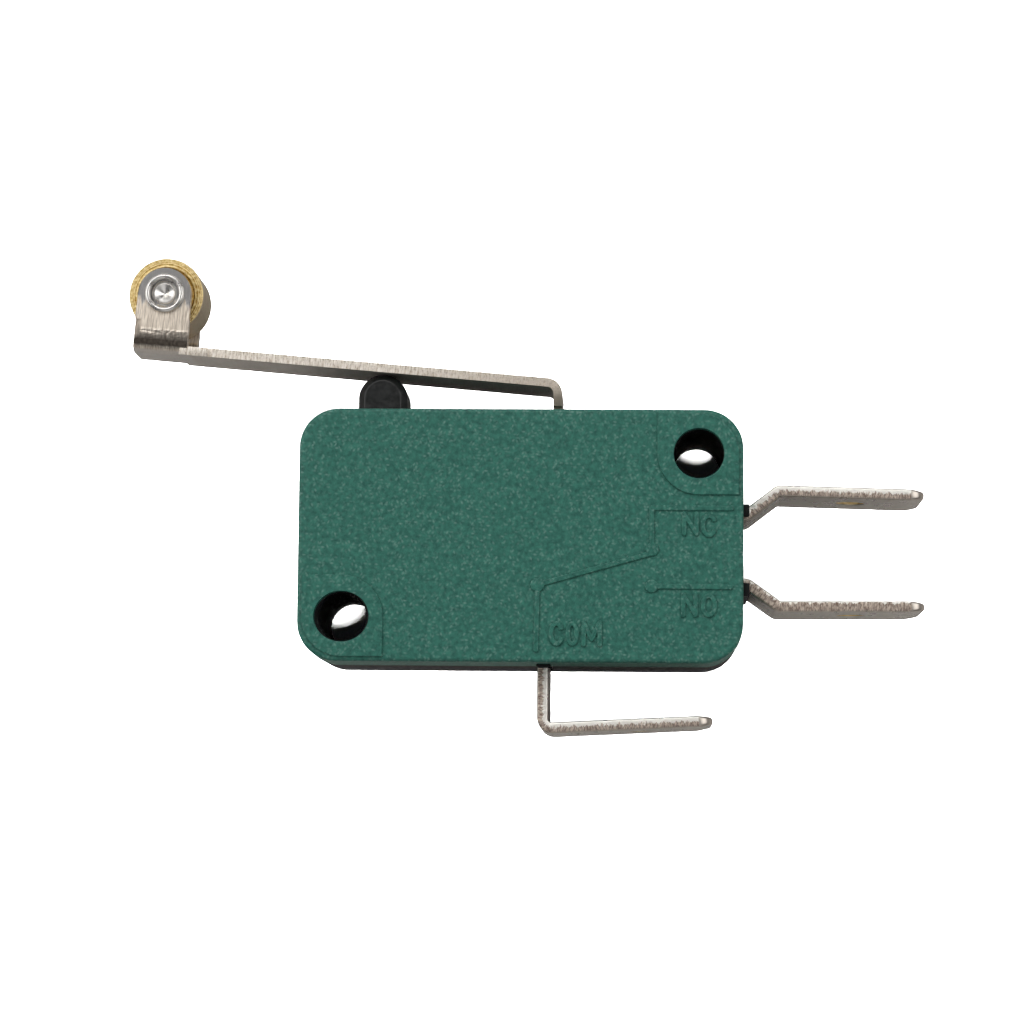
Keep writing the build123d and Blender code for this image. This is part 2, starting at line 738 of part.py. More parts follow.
def make_all():
    return {
        "base_housing": make_base(),
        "front_cover": make_cover(),
        "plunger": make_plunger(),
        "lever": make_lever(),
        "roller": make_roller(),
        "roller_pin": make_roller_pin(),
        "terminal_nc": make_side_terminal(nc_level, nc_tab_start, nc_tab_end),
        "terminal_no": make_side_terminal(no_level, no_tab_start, no_tab_end),
        "terminal_com": make_common_terminal(),
        "contact_nc": make_fixed_contact(nc_level, -1),
        "contact_no": make_fixed_contact(no_level, 1),
        "moving_contact": make_moving_contact(),
        "contact_arm": make_contact_arm(),
        "actuator_arm": make_actuator_arm(),
        "snap_spring": make_spring(),
    }


os.makedirs("parts", exist_ok=True)
for name, shape in make_all().items():
    export_step(shape, f"parts/{name}.step")
    print(name, len(shape.solids()), "solid", round(shape.volume, 3), "mm3")

print("hinge", round(hinge_x, 3), round(hinge_y, 3))
print("roller axis", [round(v, 3) for v in on_strip(roller_out, roller_up)])
print("plunger top and bottom", round(plunger_top, 3), round(plunger_bottom, 3))
print("knife edges", round(contact_arm_x, 3), contact_arm_level, round(actuator_x, 3), actuator_level)
print("contact faces", round(nc_face, 3), round(no_face, 3))
print("spring hooks", [[round(v, 3) for v in end] for end in spring_ends()])
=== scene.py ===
# %% [markdown]
# # A lever micro switch
# The switch lies on its rear face, with the green cover towards the camera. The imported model
# gives every piece its size and place. This lesson gives each piece that shows a finer form,
# and every piece the finish of its real material. Lengths are written in millimetres, as on a
# drawing, and one factor turns them into Blender's metres.

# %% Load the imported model
from math import atan2, cos, degrees, pi, radians, sin, tan

import bpy
from mathutils import Matrix, Vector


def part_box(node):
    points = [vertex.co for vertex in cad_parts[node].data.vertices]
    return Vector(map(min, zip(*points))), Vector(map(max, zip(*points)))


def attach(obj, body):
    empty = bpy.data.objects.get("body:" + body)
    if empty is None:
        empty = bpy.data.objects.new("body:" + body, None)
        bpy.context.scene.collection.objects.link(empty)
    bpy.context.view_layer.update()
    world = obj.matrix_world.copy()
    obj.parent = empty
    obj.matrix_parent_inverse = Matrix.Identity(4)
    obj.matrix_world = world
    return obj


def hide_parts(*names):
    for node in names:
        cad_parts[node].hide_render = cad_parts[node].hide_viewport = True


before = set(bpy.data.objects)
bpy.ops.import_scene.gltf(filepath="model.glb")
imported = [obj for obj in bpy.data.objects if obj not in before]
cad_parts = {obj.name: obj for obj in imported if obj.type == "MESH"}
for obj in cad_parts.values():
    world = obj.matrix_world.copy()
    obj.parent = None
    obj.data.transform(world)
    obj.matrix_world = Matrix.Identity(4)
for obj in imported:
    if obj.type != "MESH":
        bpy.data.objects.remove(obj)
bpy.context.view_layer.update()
mm = 0.001

# %% [markdown]
# ## Helpers for modelling
# A hand modeller adds a primitive, opens it in edit mode, selects some edges or faces and
# shapes them. The same steps are written here. Faces and edges are selected by where they lie,
# so that the script finds them again on each run. The imported nodes come in selected, and
# everything is deselected before a piece is worked on.

# %% Select one piece, or a part of it
tiny = 0.002


def only(piece):
    """Select one piece and nothing else."""
    bpy.ops.object.select_all(action="DESELECT")
    piece.select_set(True)
    bpy.context.view_layer.objects.active = piece


def open_with(piece, kind, test):
    """Open a piece in edit mode with only the edges or faces selected whose corners pass a test."""
    only(piece)
    mesh = piece.data
    for group in (mesh.vertices, mesh.edges, mesh.polygons):
        group.foreach_set("select", [False] * len(group))
    bpy.context.tool_settings.mesh_select_mode = (False, kind == "edge", kind == "face")
    found = 0
    for element in mesh.edges if kind == "edge" else mesh.polygons:
        corners = [mesh.vertices[i].co / mm for i in element.vertices]
        if test(corners):
            element.select = True
            found += 1
            for i in element.vertices:
                mesh.vertices[i].select = True
    bpy.ops.object.mode_set(mode="EDIT")
    return found


def close():
    bpy.ops.object.mode_set(mode="OBJECT")


def close_shell():
    """Turn all faces of the piece in edit mode outwards and close it."""
    bpy.ops.mesh.select_all(action="SELECT")
    bpy.ops.mesh.normals_make_consistent(inside=False)
    close()


def settle(piece, name):
    """Name a piece and put its place, turn and size into its mesh."""
    only(piece)
    piece.name = name
    bpy.ops.object.transform_apply(location=True, rotation=True, scale=True)
    return piece


print("helpers ready")


# %% Tests that find edges and faces
def upright(corners):
    """An edge along Z."""
    a, b = corners
    return abs(a.x - b.x) < tiny and abs(a.y - b.y) < tiny


def at_height(z):
    """Anything that lies wholly at one height."""
    return lambda corners: all(abs(c.z - z) < tiny for c in corners)


def upright_near(x, y, reach):
    """An edge along Z that stands within reach of a place."""
    return lambda corners: upright(corners) and (corners[0].xy - Vector((x, y))).length < reach


print("tests ready")


# %% Blocks, discs and what is done to them
def slab(low, high, name="block"):
    """A cube primitive stretched between two corners."""
    low = Vector(low) * mm
    high = Vector(high) * mm
    bpy.ops.mesh.primitive_cube_add(size=1, location=(low + high) / 2)
    bpy.context.active_object.scale = high - low
    return settle(bpy.context.active_object, name)


def disc(place, radius, depth, turn=(0, 0, 0), sides=64):
    """A cylinder primitive about a place, along Z unless it is turned."""
    bpy.ops.mesh.primitive_cylinder_add(vertices=sides, radius=radius * mm, depth=depth * mm,
                                        location=Vector(place) * mm, rotation=turn)
    return settle(bpy.context.active_object, "disc")


def round_edges(piece, test, radius, steps):
    """Bevel the edges that pass a test."""
    found = open_with(piece, "edge", test)
    if found:
        bpy.ops.mesh.bevel(offset=radius * mm, segments=steps, affect="EDGES", clamp_overlap=False)
    close()
    return found


def combine(piece, tool, how):
    """Change a piece by another one, the tool, which is used up.

    The solver expects things about a metre long, so both are enlarged while it works.
    """
    only(piece)
    tool.select_set(True)
    for part in (piece, tool):
        part.scale = (1 / mm, 1 / mm, 1 / mm)
    bpy.ops.object.transform_apply()
    change = piece.modifiers.new("shape", "BOOLEAN")
    change.operation = how
    change.object = tool
    change.solver = "EXACT"
    bpy.ops.object.modifier_apply(modifier=change.name)
    bpy.data.objects.remove(tool)
    piece.scale = (mm, mm, mm)
    bpy.ops.object.transform_apply()


def cut(piece, tool):
    combine(piece, tool, "DIFFERENCE")


def join(piece, tool):
    combine(piece, tool, "UNION")


def rounded_slab(low, high, radius, steps=12, name="block"):
    """A block with its four upright edges rounded."""
    block = slab(low, high, name)
    round_edges(block, upright, radius, steps)
    return block


def soften(piece, angle=35):
    """Smooth shading over gentle turns, with flat faces kept flat."""
    only(piece)
    bpy.ops.object.shade_smooth_by_angle(angle=radians(angle))
    weigh = piece.modifiers.new("flat_faces", "WEIGHTED_NORMAL")
    weigh.keep_sharp = True
    weigh.weight = 100
    bpy.ops.object.modifier_apply(modifier=weigh.name)


def edge_wear(piece, width, angle=35, steps=2):
    """A small bevel on every sharp edge, as moulding and tumbling leave it."""
    only(piece)
    bevel = piece.modifiers.new("edge_wear", "BEVEL")
    bevel.width = width * mm
    bevel.segments = steps
    bevel.limit_method = "ANGLE"
    bevel.angle_limit = radians(angle)
    bevel.use_clamp_overlap = True
    bpy.ops.object.modifier_apply(modifier=bevel.name)


print("tools ready")

# %% [markdown]
# ## Sizes of the case
# The case is two mouldings that meet at the parting line. Their boxes come from the packed
# model. The wall, the rim and the holes are the same values as in the solid model.

# %% Read the case
cover_low, cover_high = (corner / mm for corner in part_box("front_cover"))
half_x = cover_high.x
half_y = cover_high.y
parting = cover_low.z
pad_face = cover_high.z
tube_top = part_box("base_housing")[1].z / mm
pad_height = 0.15
cover_face = pad_face - pad_height
wall = 1.2
corner_radius = 2.8
corner_turn = 2.45
inner_radius = 1.2
hole_x = half_x - corner_radius
hole_y = half_y - corner_radius
hole_radius = 1.55
draft = radians(0.4)
middle = pad_face / 2
print("case", round(2 * half_x, 2), "x", round(2 * half_y, 2), "x", round(pad_face, 2))
print("holes at", round(hole_x, 2), round(hole_y, 2))

# %% [markdown]
# ## Openings that both mouldings share
# The terminals, the plunger and the lever's leg pass through slots that are half in the base
# and half in the cover. They are cut last, through both, so that their edges line up.

# %% Cut the shared openings
terminal_x = 1.42
nc_level = 1.53
no_level = -2.83
sheet_slot = 0.45
tab_width = 6.3
tab_gap = 0.1
plunger_low, plunger_high = (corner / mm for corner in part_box("plunger"))
plunger_x = (plunger_low.x + plunger_high.x) / 2
plunger_half = 1.55
plunger_gap = 0.08
leg_left = 1.935
leg_right = 2.485
leg_slot_left = 1.569
leg_slot_right = 2.605
leg_slot_deep = 1.82


def cut_openings(shell):
    """The slots through the case's walls, each by its ends in X, in Y and in Z."""
    tab_z = (middle - tab_width / 2 - tab_gap, middle + tab_width / 2 + tab_gap)
    right_wall = (half_x - wall - 1, half_x + 1)
    bottom_wall = (-half_y - 1, -half_y + wall + 1)
    top_wall = (half_y - wall - 0.3, half_y + 1)
    reach = plunger_half + plunger_gap
    deep = (plunger_high.z - plunger_low.z) / 2 + plunger_gap
    for x, y, z in ((right_wall, (nc_level - sheet_slot, nc_level + sheet_slot), tab_z),
                    (right_wall, (no_level - sheet_slot, no_level + sheet_slot), tab_z),
                    ((terminal_x - sheet_slot, terminal_x + sheet_slot), bottom_wall, tab_z),
                    ((plunger_x - reach, plunger_x + reach), top_wall, (middle - deep, middle + deep)),
                    ((leg_slot_left, leg_slot_right), top_wall,
                     (middle - leg_slot_deep, middle + leg_slot_deep))):
        cut(shell, slab(*zip(x, y, z)))


print("plunger at", round(plunger_x, 2))

# %% [markdown]
# ## The green cover
# The cover is an injection moulding: a rounded lid with a fine round along its front edge, two
# raised pads round the fixing holes and a raised diagram of the contacts. A block with rounded
# upright edges is drafted by making its front face a little smaller, its front edge is
# rounded, and the hollow and the holes are cut out of it.

# %% The cover's shell
front_round = 0.25


def draft_face(piece, z, depth):
    """Make one face smaller, as the draft of a mould does."""
    shrink = depth * tan(draft)
    open_with(piece, "face", at_height(z))
    bpy.ops.transform.resize(value=(1 - shrink / half_x, 1 - shrink / half_y, 1),
                             center_override=(0, 0, z * mm))
    close()


cover = rounded_slab((-half_x, -half_y, parting), (half_x, half_y, cover_face), corner_turn, 16,
                     "cover_shell")
draft_face(cover, cover_face, cover_face - parting)
rounded = round_edges(cover, at_height(cover_face), front_round, 5)
hollow_x = half_x - wall
hollow_y = half_y - wall
cut(cover, rounded_slab((-hollow_x, -hollow_y, parting - 1),
                        (hollow_x, hollow_y, cover_face - wall), inner_radius))
print("front edges rounded:", rounded)

# %% [markdown]
# ### The rebate and the hole sleeves
# Behind the front wall the cover has a rebate that takes the base's rim, and at each fixing
# hole a pocket that takes the base's tube. They hardly show, but the holes would look wrong
# without the two steps inside them.

# %% Rebate, pockets and pads
lip = 0.6
lip_height = 0.8
lip_gap = 0.05
tube_radius = hole_radius + 0.65
tube_gap = 0.1
pad_radius = 2.6
pad_inset = 0.3
pad_edge_round = 0.05
cover_hole_radius = 1.58
oval_stretch = 0.15
step = wall - lip - lip_gap
cut(cover, rounded_slab((-half_x + step, -half_y + step, parting - 1),
                        (half_x - step, half_y - step, parting + lip_height + lip_gap),
                        corner_turn - step))


def make_pad(side):
    """A raised pad: one corner follows the case and the opposite one is round about the hole."""
    x = sorted((side * (hole_x - pad_radius), side * (half_x - pad_inset)))
    y = sorted((side * (hole_y - pad_radius), side * (half_y - pad_inset)))
    pad = slab((x[0], y[0], cover_face - 0.3), (x[1], y[1], pad_face))
    outer = (side * (half_x - pad_inset), side * (half_y - pad_inset))
    inner = (side * (hole_x - pad_radius), side * (hole_y - pad_radius))
    round_edges(pad, upright_near(*outer, 0.1), corner_radius - pad_inset, 12)
    round_edges(pad, upright_near(*inner, 0.1), pad_radius, 12)
    round_edges(pad, at_height(pad_face), pad_edge_round, 2)
    return pad


for side in (-1, 1):
    join(cover, make_pad(side))
    cut(cover, disc((side * hole_x, side * hole_y, tube_top - 3), tube_radius + tube_gap, 6))
    hole = disc((side * hole_x, side * hole_y, pad_face), cover_hole_radius, 6)
    if side < 0:
        # this hole is a little oval
        only(hole)
        bpy.ops.transform.resize(value=(1 + oval_stretch / cover_hole_radius, 1, 1),
                                 center_override=(-hole_x * mm, -hole_y * mm, 0))
        settle(hole, "hole")
    cut(cover, hole)
rib_low = middle + 2.8
rib_half = 0.4
rib_long = 1.8
rib_end = -2.7
rib_top = cover_face - wall + 0.3
for level in (nc_level, no_level):
    join(cover, slab((hollow_x - rib_long, level - rib_half, rib_low),
                     (hollow_x + 0.3, level + rib_half, rib_top)))
join(cover, slab((terminal_x - rib_half, -hollow_y - 0.3, rib_low),
                 (terminal_x + rib_half, rib_end, rib_top)))
cut_openings(cover)
print("cover faces:", len(cover.data.polygons))

# %% [markdown]
# ### The raised diagram
# The mould has shallow grooves that leave a diagram on the cover: a pivot, the moving contact
# and the two fixed ones. It stands about a tenth of a millimetre proud. Each line is a thin bar
# with a rounded back, laid from one point to the next, and each dot is a low disc.

# %% Diagram lines
ridge_width = 0.34
ridge_height = 0.12
ridge_round = 0.07
pivot = (1.1, -3.12)
nc_dot = (8.2, -0.87)
contact_end = (8.17, -1.12)
lift = 0.003
lift_levels = 6
no_dot = (8.18, -3.17)
nc_corner = (8.17, 1.72)
nc_end = (13.1, 1.72)
no_end = (13.05, -3.2)
com_end = (1.03, -7.15)
ridge_top = cover_face + ridge_height


def ridge(a, b, width=ridge_width):
    """A raised line with round ends between two places on the cover."""
    a = Vector(a)
    b = Vector(b)
    length = (b - a).length + width
    bar = slab((-length / 2, -width / 2, cover_face - 0.1), (length / 2, width / 2, ridge_top))
    round_edges(bar, upright, width / 2 - 0.004, 6)
    round_edges(bar, at_height(ridge_top), ridge_round, 4)
    bar.rotation_euler.z = atan2(b.y - a.y, b.x - a.x)
    bar.location = ((a + b) / 2).to_3d() * mm
    return settle(bar, "ridge")


def dot(place, radius):
    """A low disc with a rounded rim."""
    button = disc((*place, ridge_top - 0.15), radius, 0.3, sides=32)
    round_edges(button, at_height(ridge_top), min(ridge_round, radius * 0.7), 4)
    return button


def gathered(parts, name):
    """Make one piece of parts that stand in one another, each lifted a little.

    Nothing needs to be cut, but two tops at one height would show dark ticks.
    """
    bpy.ops.object.select_all(action="DESELECT")
    for i, part in enumerate(parts):
        part.location.z = i % lift_levels * lift * mm
        part.select_set(True)
    bpy.context.view_layer.objects.active = parts[0]
    bpy.ops.object.join()
    return settle(bpy.context.active_object, name)


diagram = gathered([ridge(pivot, com_end), ridge(pivot, contact_end), ridge(nc_dot, nc_corner),
                    ridge(nc_corner, nc_end), ridge(no_dot, no_end),
                    dot(pivot, 0.45), dot(nc_dot, 0.43), dot(no_dot, 0.42)], "circuit_ridges")
print("diagram faces:", len(diagram.data.polygons))

# %% [markdown]
# ### The terminal letters
# The mould maker cut the letters with a round-nosed cutter, so every stroke has the same width
# and round ends. They are built in the same way: straight strokes are short ridges, and an O
# is a flat oval ring that is extruded. A C is an O whose ring loses the faces at its mouth.

# %% Strokes of the letters
stroke = 0.31
mouth = 0.36


def oval_line(place, half_wide, half_tall, is_open=False):
    """A raised oval line, sized to the middle of its stroke."""
    x, y = place
    wide = half_wide + stroke / 2
    tall = half_tall + stroke / 2
    deep = ridge_height + 0.1
    bpy.ops.mesh.primitive_circle_add(vertices=44, radius=1, fill_type="NOTHING",
                                      location=Vector((x, y, ridge_top - deep)) * mm)
    ring = bpy.context.active_object
    ring.scale = (wide * mm, tall * mm, 1)
    settle(ring, "oval_line")
    open_with(ring, "edge", lambda corners: True)
    bpy.ops.mesh.extrude_region_move()
    bpy.ops.transform.resize(value=(1 - stroke / wide, 1 - stroke / tall, 1),
                             center_override=(x * mm, y * mm, 0))
    close()
    if is_open:
        open_with(ring, "face", lambda cs: all(c.x > x and abs(c.y - y) < mouth for c in cs))
        bpy.ops.mesh.delete(type="FACE")
        close()
    open_with(ring, "face", lambda corners: True)
    bpy.ops.mesh.extrude_region_move(TRANSFORM_OT_translate={"value": (0, 0, deep * mm)})
    close_shell()
    edge_wear(ring, ridge_round, 60, 4)
    return ring


def letter_c(place, half_wide, half_tall):
    """An open oval line with round ends."""
    x, y = place
    end_x = x + half_wide * (1 - (mouth / half_tall) ** 2) ** 0.5
    return [oval_line(place, half_wide, half_tall, True), dot((end_x, y + mouth), stroke / 2),
            dot((end_x, y - mouth), stroke / 2)]


def letter_n(left, right, low, high):
    """Two uprights and a diagonal, sized to the middle of their strokes."""
    return [ridge((left, low), (left, high), stroke), ridge((left, high), (right, low), stroke),
            ridge((right, low), (right, high), stroke)]


def letter_m(left, right, low, high, dip):
    """Two uprights with a V between them."""
    centre = (left + right) / 2
    return [ridge((left, low), (left, high), stroke), ridge((left, high), (centre, dip), stroke),
            ridge((centre, dip), (right, high), stroke), ridge((right, low), (right, high), stroke)]


print("strokes", stroke, "mm wide")

# %% The three words
letters = gathered([*letter_n(10.19, 10.96, 0.12, 1.36), *letter_c((11.73, 0.64), 0.39, 0.6),
                    *letter_n(10.15, 10.91, -4.95, -3.67), oval_line((11.73, -4.35), 0.37, 0.6),
                    *letter_c((2.31, -6.155), 0.35, 0.63), oval_line((3.28, -6.155), 0.28, 0.63),
                    *letter_m(3.99, 4.99, -6.81, -5.45, -6.48)], "terminal_letters")
for raised in (diagram, letters):
    soften(raised, 50)
print("letter faces:", len(letters.data.polygons))

# %% [markdown]
# ## The black base
# The base carries everything: a deep tray with a rim that enters the cover, a tube round each
# fixing hole, blocks that hold the terminals, two ribs for the plunger and a ledge for the
# lever's foot. From outside only its walls and the bottoms of the holes show.

# %% The tray
base = rounded_slab((-half_x, -half_y, 0), (half_x, half_y, parting), corner_turn, 16, "base_shell")
draft_face(base, 0, parting)
round_edges(base, at_height(0), 0.25, 3)
rim = rounded_slab((-half_x + wall - lip, -half_y + wall - lip, parting - 0.3),
                   (half_x - wall + lip, half_y - wall + lip, parting + lip_height),
                   corner_turn - wall + lip)
join(base, rim)
cut(base, rounded_slab((-hollow_x, -hollow_y, wall), (hollow_x, hollow_y, pad_face), inner_radius))
print("base faces:", len(base.data.polygons))

# %% The supports inside
inner_half = 2.6
seat_wall = 1.0
seat_reach = 1.9
seat_gap = 0.4
rooted = 0.3
clear = 0.05
guide_from = 2.23
guide_to = 3.13
guide_long = 2.4
ledge_half = 1.295
ledge_low = 4.65
ledge_slot_half = 0.495
ledge_floor = 5.65
ledge_slot_deep = 2.72


def add_seat(low, high, gap_low, gap_high):
    """A block on a wall, with a slot that the terminal stands in."""
    seat = slab(low, high)
    cut(seat, slab(gap_low, gap_high))
    join(base, seat)


seat_top = middle + inner_half
seat_low = middle - inner_half - tab_gap
outer = sheet_slot + seat_wall
for level in (nc_level, no_level):
    near = hollow_x - seat_reach
    add_seat((near, level - outer, wall - rooted), (hollow_x - clear, level + outer, seat_top),
             (near - 1, level - seat_gap, seat_low), (hollow_x + 1, level + seat_gap, pad_face))
add_seat((terminal_x - outer, -hollow_y + clear, wall - rooted),
         (terminal_x + outer, -hollow_y + seat_reach, seat_top),
         (terminal_x - seat_gap, -hollow_y - 1, seat_low),
         (terminal_x + seat_gap, -hollow_y + seat_reach + 1, pad_face))
for side in (-1, 1):
    left, right = sorted((plunger_x + side * guide_from, plunger_x + side * guide_to))
    join(base, slab((left, hollow_y - guide_long, wall - rooted), (right, hollow_y + rooted, parting)))
hinge_x = (leg_left + leg_right) / 2
ledge = slab((hinge_x - ledge_half, ledge_low, wall - rooted),
             (hinge_x + ledge_half, hollow_y + rooted, parting))
cut(ledge, slab((hinge_x - ledge_slot_half, ledge_floor, middle - ledge_slot_deep),
                (hinge_x + ledge_slot_half, hollow_y, pad_face)))
join(base, ledge)
for side in (-1, 1):
    place = (side * hole_x, side * hole_y)
    cut(base, disc((*place, parting + 2), tube_radius + 2 * tube_gap, 4))
    tube_low = wall / 2
    join(base, disc((*place, (tube_low + tube_top) / 2), tube_radius, tube_top - tube_low))
    cut(base, disc((*place, middle), hole_radius, 3 * pad_face))
cut_openings(base)
print("base faces:", len(base.data.polygons))

# %% [markdown]
# Where a terminal leaves the wall, a small black lip on the base stands up to 0.4 mm proud and
# closes the slot's front end. It is painted shade: a black piece put where the gap at the
# terminal's exit lies in shade.

# %% Lips at the slots, as painted shade
shade_piece_proud = 0.4
shade_piece_rooted = 0.08
shade_piece_front = middle + tab_width / 2 + 0.2
shade_piece_back = middle - tab_width / 2 - 0.3
tab_room = 0.37
nc_shade_piece = (half_x - shade_piece_rooted, 1.38, shade_piece_back), (half_x + shade_piece_proud, 2.17, shade_piece_front)
no_shade_piece = (half_x - shade_piece_rooted, -3.6, shade_piece_back), (half_x + shade_piece_proud, -2.78, shade_piece_front)
com_shade_piece = (1.05, -half_y - 0.22, shade_piece_front - 0.5), (1.9, -half_y + shade_piece_rooted, shade_piece_front)
nc_room = (-half_x, nc_level - tab_room), (2 * half_x, nc_level + tab_room)
no_room = (-half_x, no_level - tab_room), (2 * half_x, no_level + tab_room)
com_room = (terminal_x - tab_room, -2 * half_y), (terminal_x + tab_room, 0)
for box, room in ((nc_shade_piece, nc_room), (no_shade_piece, no_room), (com_shade_piece, com_room)):
    piece = slab(*box)
    edge_wear(piece, 0.1, 35, 3)
    cut(piece, slab((*room[0], 0), (*room[1], middle + tab_width / 2 + 0.02)))
    join(base, piece)
print("lips:", round(shade_piece_front - shade_piece_back, 2), "mm long, base faces:", len(base.data.polygons))

# %% [markdown]
# ## The plunger
# The plunger is a round-ended bar of glossy black plastic with bevelled faces. The lever
# presses on its top, and a flange under the case wall keeps it in. Its outline starts as a
# circle, whose upper half is moved up, and is then extruded.

# %% Model the plunger
face_bevel = 0.4
half_step = pi / 64
low_centre = Vector((plunger_x, plunger_low.y + plunger_half, plunger_low.z))
bpy.ops.mesh.primitive_circle_add(vertices=64, radius=plunger_half * mm, fill_type="NGON",
                                  location=low_centre * mm, rotation=(0, 0, half_step))
plunger = settle(bpy.context.active_object, "plunger_button")
open_with(plunger, "edge", lambda c: min(v.y for v in c) > plunger_low.y + plunger_half)
bpy.ops.transform.translate(value=(0, (plunger_high.y - plunger_low.y - 2 * plunger_half) * mm, 0))
bpy.ops.mesh.select_all(action="SELECT")
bpy.ops.mesh.extrude_region_move(
    TRANSFORM_OT_translate={"value": (0, 0, (plunger_high.z - plunger_low.z) * mm)})
close_shell()
for z in (plunger_low.z, plunger_high.z):
    round_edges(plunger, at_height(z), face_bevel, 1)
edge_wear(plunger, 0.05, 25)
flange_top = hollow_y - 0.05
flange_inset = 0.02
flange = slab((plunger_low.x, flange_top - 1, plunger_low.z + flange_inset),
              (plunger_high.x, flange_top, plunger_high.z - flange_inset))
edge_wear(flange, 0.2)
join(plunger, flange)
soften(plunger, 30)
print("plunger faces:", len(plunger.data.polygons))

# %% [markdown]
# ## Bending strip
# Every metal part but the roller and the rivet was blanked from strip and folded. The strip
# is drawn as a turtle would walk it: a flat rectangle is extruded along each straight run and
# spun about the bend's axis at each fold, so the sheet keeps its thickness all the way. The
# walk also gives each point its distance from the middle of the sheet, which the finish of
# the sheared edges follows.

# %% A strip that runs and bends
bend_steps = 8


def fold(name, start, heading, thickness, low, high, moves):
    """Draw a folded strip in the XY plane. Moves are ("run", length) or ("bend", degrees, inner radius).

    Gives the piece and its middle line as points.
    """
    centre = Vector((start[0], start[1], (low + high) / 2))
    bpy.ops.mesh.primitive_plane_add(size=1, location=centre * mm)
    plane = bpy.context.active_object
    # the rectangle faces along the first run: its local X is the width and its local Y the thickness
    plane.scale = ((high - low) * mm, thickness * mm, 1)
    ahead = Vector((cos(heading), sin(heading), 0))
    aside = Vector((-ahead.y, ahead.x, 0))
    turn = Matrix((Vector((0, 0, 1)), aside, Vector((0, 0, 1)).cross(aside))).transposed()
    plane.rotation_euler = turn.to_euler()
    strip = settle(plane, name)
    line = [centre.xy]
    angle = heading
    here = centre.copy()
    open_with(strip, "face", lambda corners: True)
    for move in moves:
        ahead = Vector((cos(angle), sin(angle), 0))
        if move[0] == "run":
            bpy.ops.mesh.extrude_region_move(TRANSFORM_OT_translate={"value": ahead * move[1] * mm})
            here = here + ahead * move[1]
            line.append(here.xy)
        else:
            turn_angle = radians(move[1])
            side = 1 if turn_angle > 0 else -1
            radius = move[2] + thickness / 2
            aside = Vector((-ahead.y, ahead.x, 0)) * side
            axis_at = here + aside * radius
            bpy.ops.mesh.spin(steps=bend_steps, angle=-turn_angle, center=axis_at * mm, axis=(0, 0, 1))
            for i in range(1, bend_steps + 1):
                part = Matrix.Rotation(turn_angle * i / bend_steps, 3, "Z")
                line.append((axis_at + part @ (here - axis_at)).xy)
            here = Vector((*line[-1], here.z))
            angle += turn_angle
    close()
    open_with(strip, "face", lambda corners: True)
    bpy.ops.mesh.remove_doubles(threshold=tiny * mm / 10)
    bpy.ops.mesh.normals_make_consistent(inside=False)
    close()
    return strip, line


print("strips can be folded")


# %% [markdown]
# A detail of the bend: a fold drawn between two straight runs starts before their corner. How
# far before depends on the angle and on the radius of the middle of the sheet.

# %% From a cornered line to runs and bends
def walk(points, thickness, inner):
    """Turn the corners of a middle line into runs and bends. Inner holds each corner's inner radius."""
    points = [Vector(p) for p in points]
    headings = [atan2((b - a).y, (b - a).x) for a, b in zip(points, points[1:])]
    moves = []
    trimmed = 0.0
    for i, heading in enumerate(headings):
        length = (points[i + 1] - points[i]).length - trimmed
        if i == len(headings) - 1:
            moves.append(("run", length))
            break
        turn = (headings[i + 1] - heading + pi) % (2 * pi) - pi
        trimmed = (inner[i] + thickness / 2) * tan(abs(turn) / 2)
        moves.append(("run", length - trimmed))
        moves.append(("bend", degrees(turn), inner[i]))
    return headings[0], moves


def nearest_on(line, point):
    """The nearest place on a line of points: distance along, signed distance across, direction."""
    best = None
    start = 0.0
    for a, b in zip(line, line[1:]):
        span = b - a
        along = span.normalized()
        reach = min(max((point - a).dot(along), 0), span.length)
        gap = point - (a + along * reach)
        if best is None or gap.length < best[0]:
            side = along.x * gap.y - along.y * gap.x
            best = (gap.length, start + reach, gap.length if side > 0 else -gap.length, along)
        start += span.length
    return best[1:]


# the map counts from a point this far before the strip, so that it has no negative lengths
from_start = 20


def read_sheet(piece, line, flip=1, flat=None, region=None):
    """Write a UV map along and across the sheet in millimetres, and mark the sheared faces.

    Flat turns a place back into the plane that the line was drawn in.
    """
    mesh = piece.data
    layer = mesh.uv_layers.get("sheet") or mesh.uv_layers.new(name="sheet")
    flat = flat or Matrix.Identity(4)
    run = [line[0] + (line[0] - line[1]).normalized() * from_start, *line,
           line[-1] + (line[-1] - line[-2]).normalized() * from_start]
    sheared = 0
    for polygon in mesh.polygons:
        if region and not region(polygon.center / mm):
            continue
        for loop in polygon.loop_indices:
            point = flat @ (mesh.vertices[mesh.loops[loop].vertex_index].co / mm)
            along, across, _ = nearest_on(run, point.xy)
            layer.data[loop].uv = (along, across * flip)
        heading = nearest_on(run, (flat @ (polygon.center / mm)).xy)[2]
        normal = flat.to_3x3() @ polygon.normal
        is_cut = abs(normal.x * -heading.y + normal.y * heading.x) < 0.6
        polygon.material_index = 1 if is_cut else 0
        sheared += is_cut
    print(piece.name, "sheared faces:", sheared)


print("corners can be walked")

# %% [markdown]
# ## The terminals
# The three terminals are push-on tabs of plated brass, 6.3 mm wide and 0.7 mm thick, seen
# here on their sheared edges. Each has a clipped and bevelled tip and a detent hole.

# %% Draw a terminal
sheet = 0.7
tip_bevel = 0.9
tip_thin = 0.12
tip_clip = 0.88
tab_hole_radius = 0.9
tab_hole_back = 4.5
joggle_inner = 0.15
common_inner = 0.25
tab_edge_round = 0.14


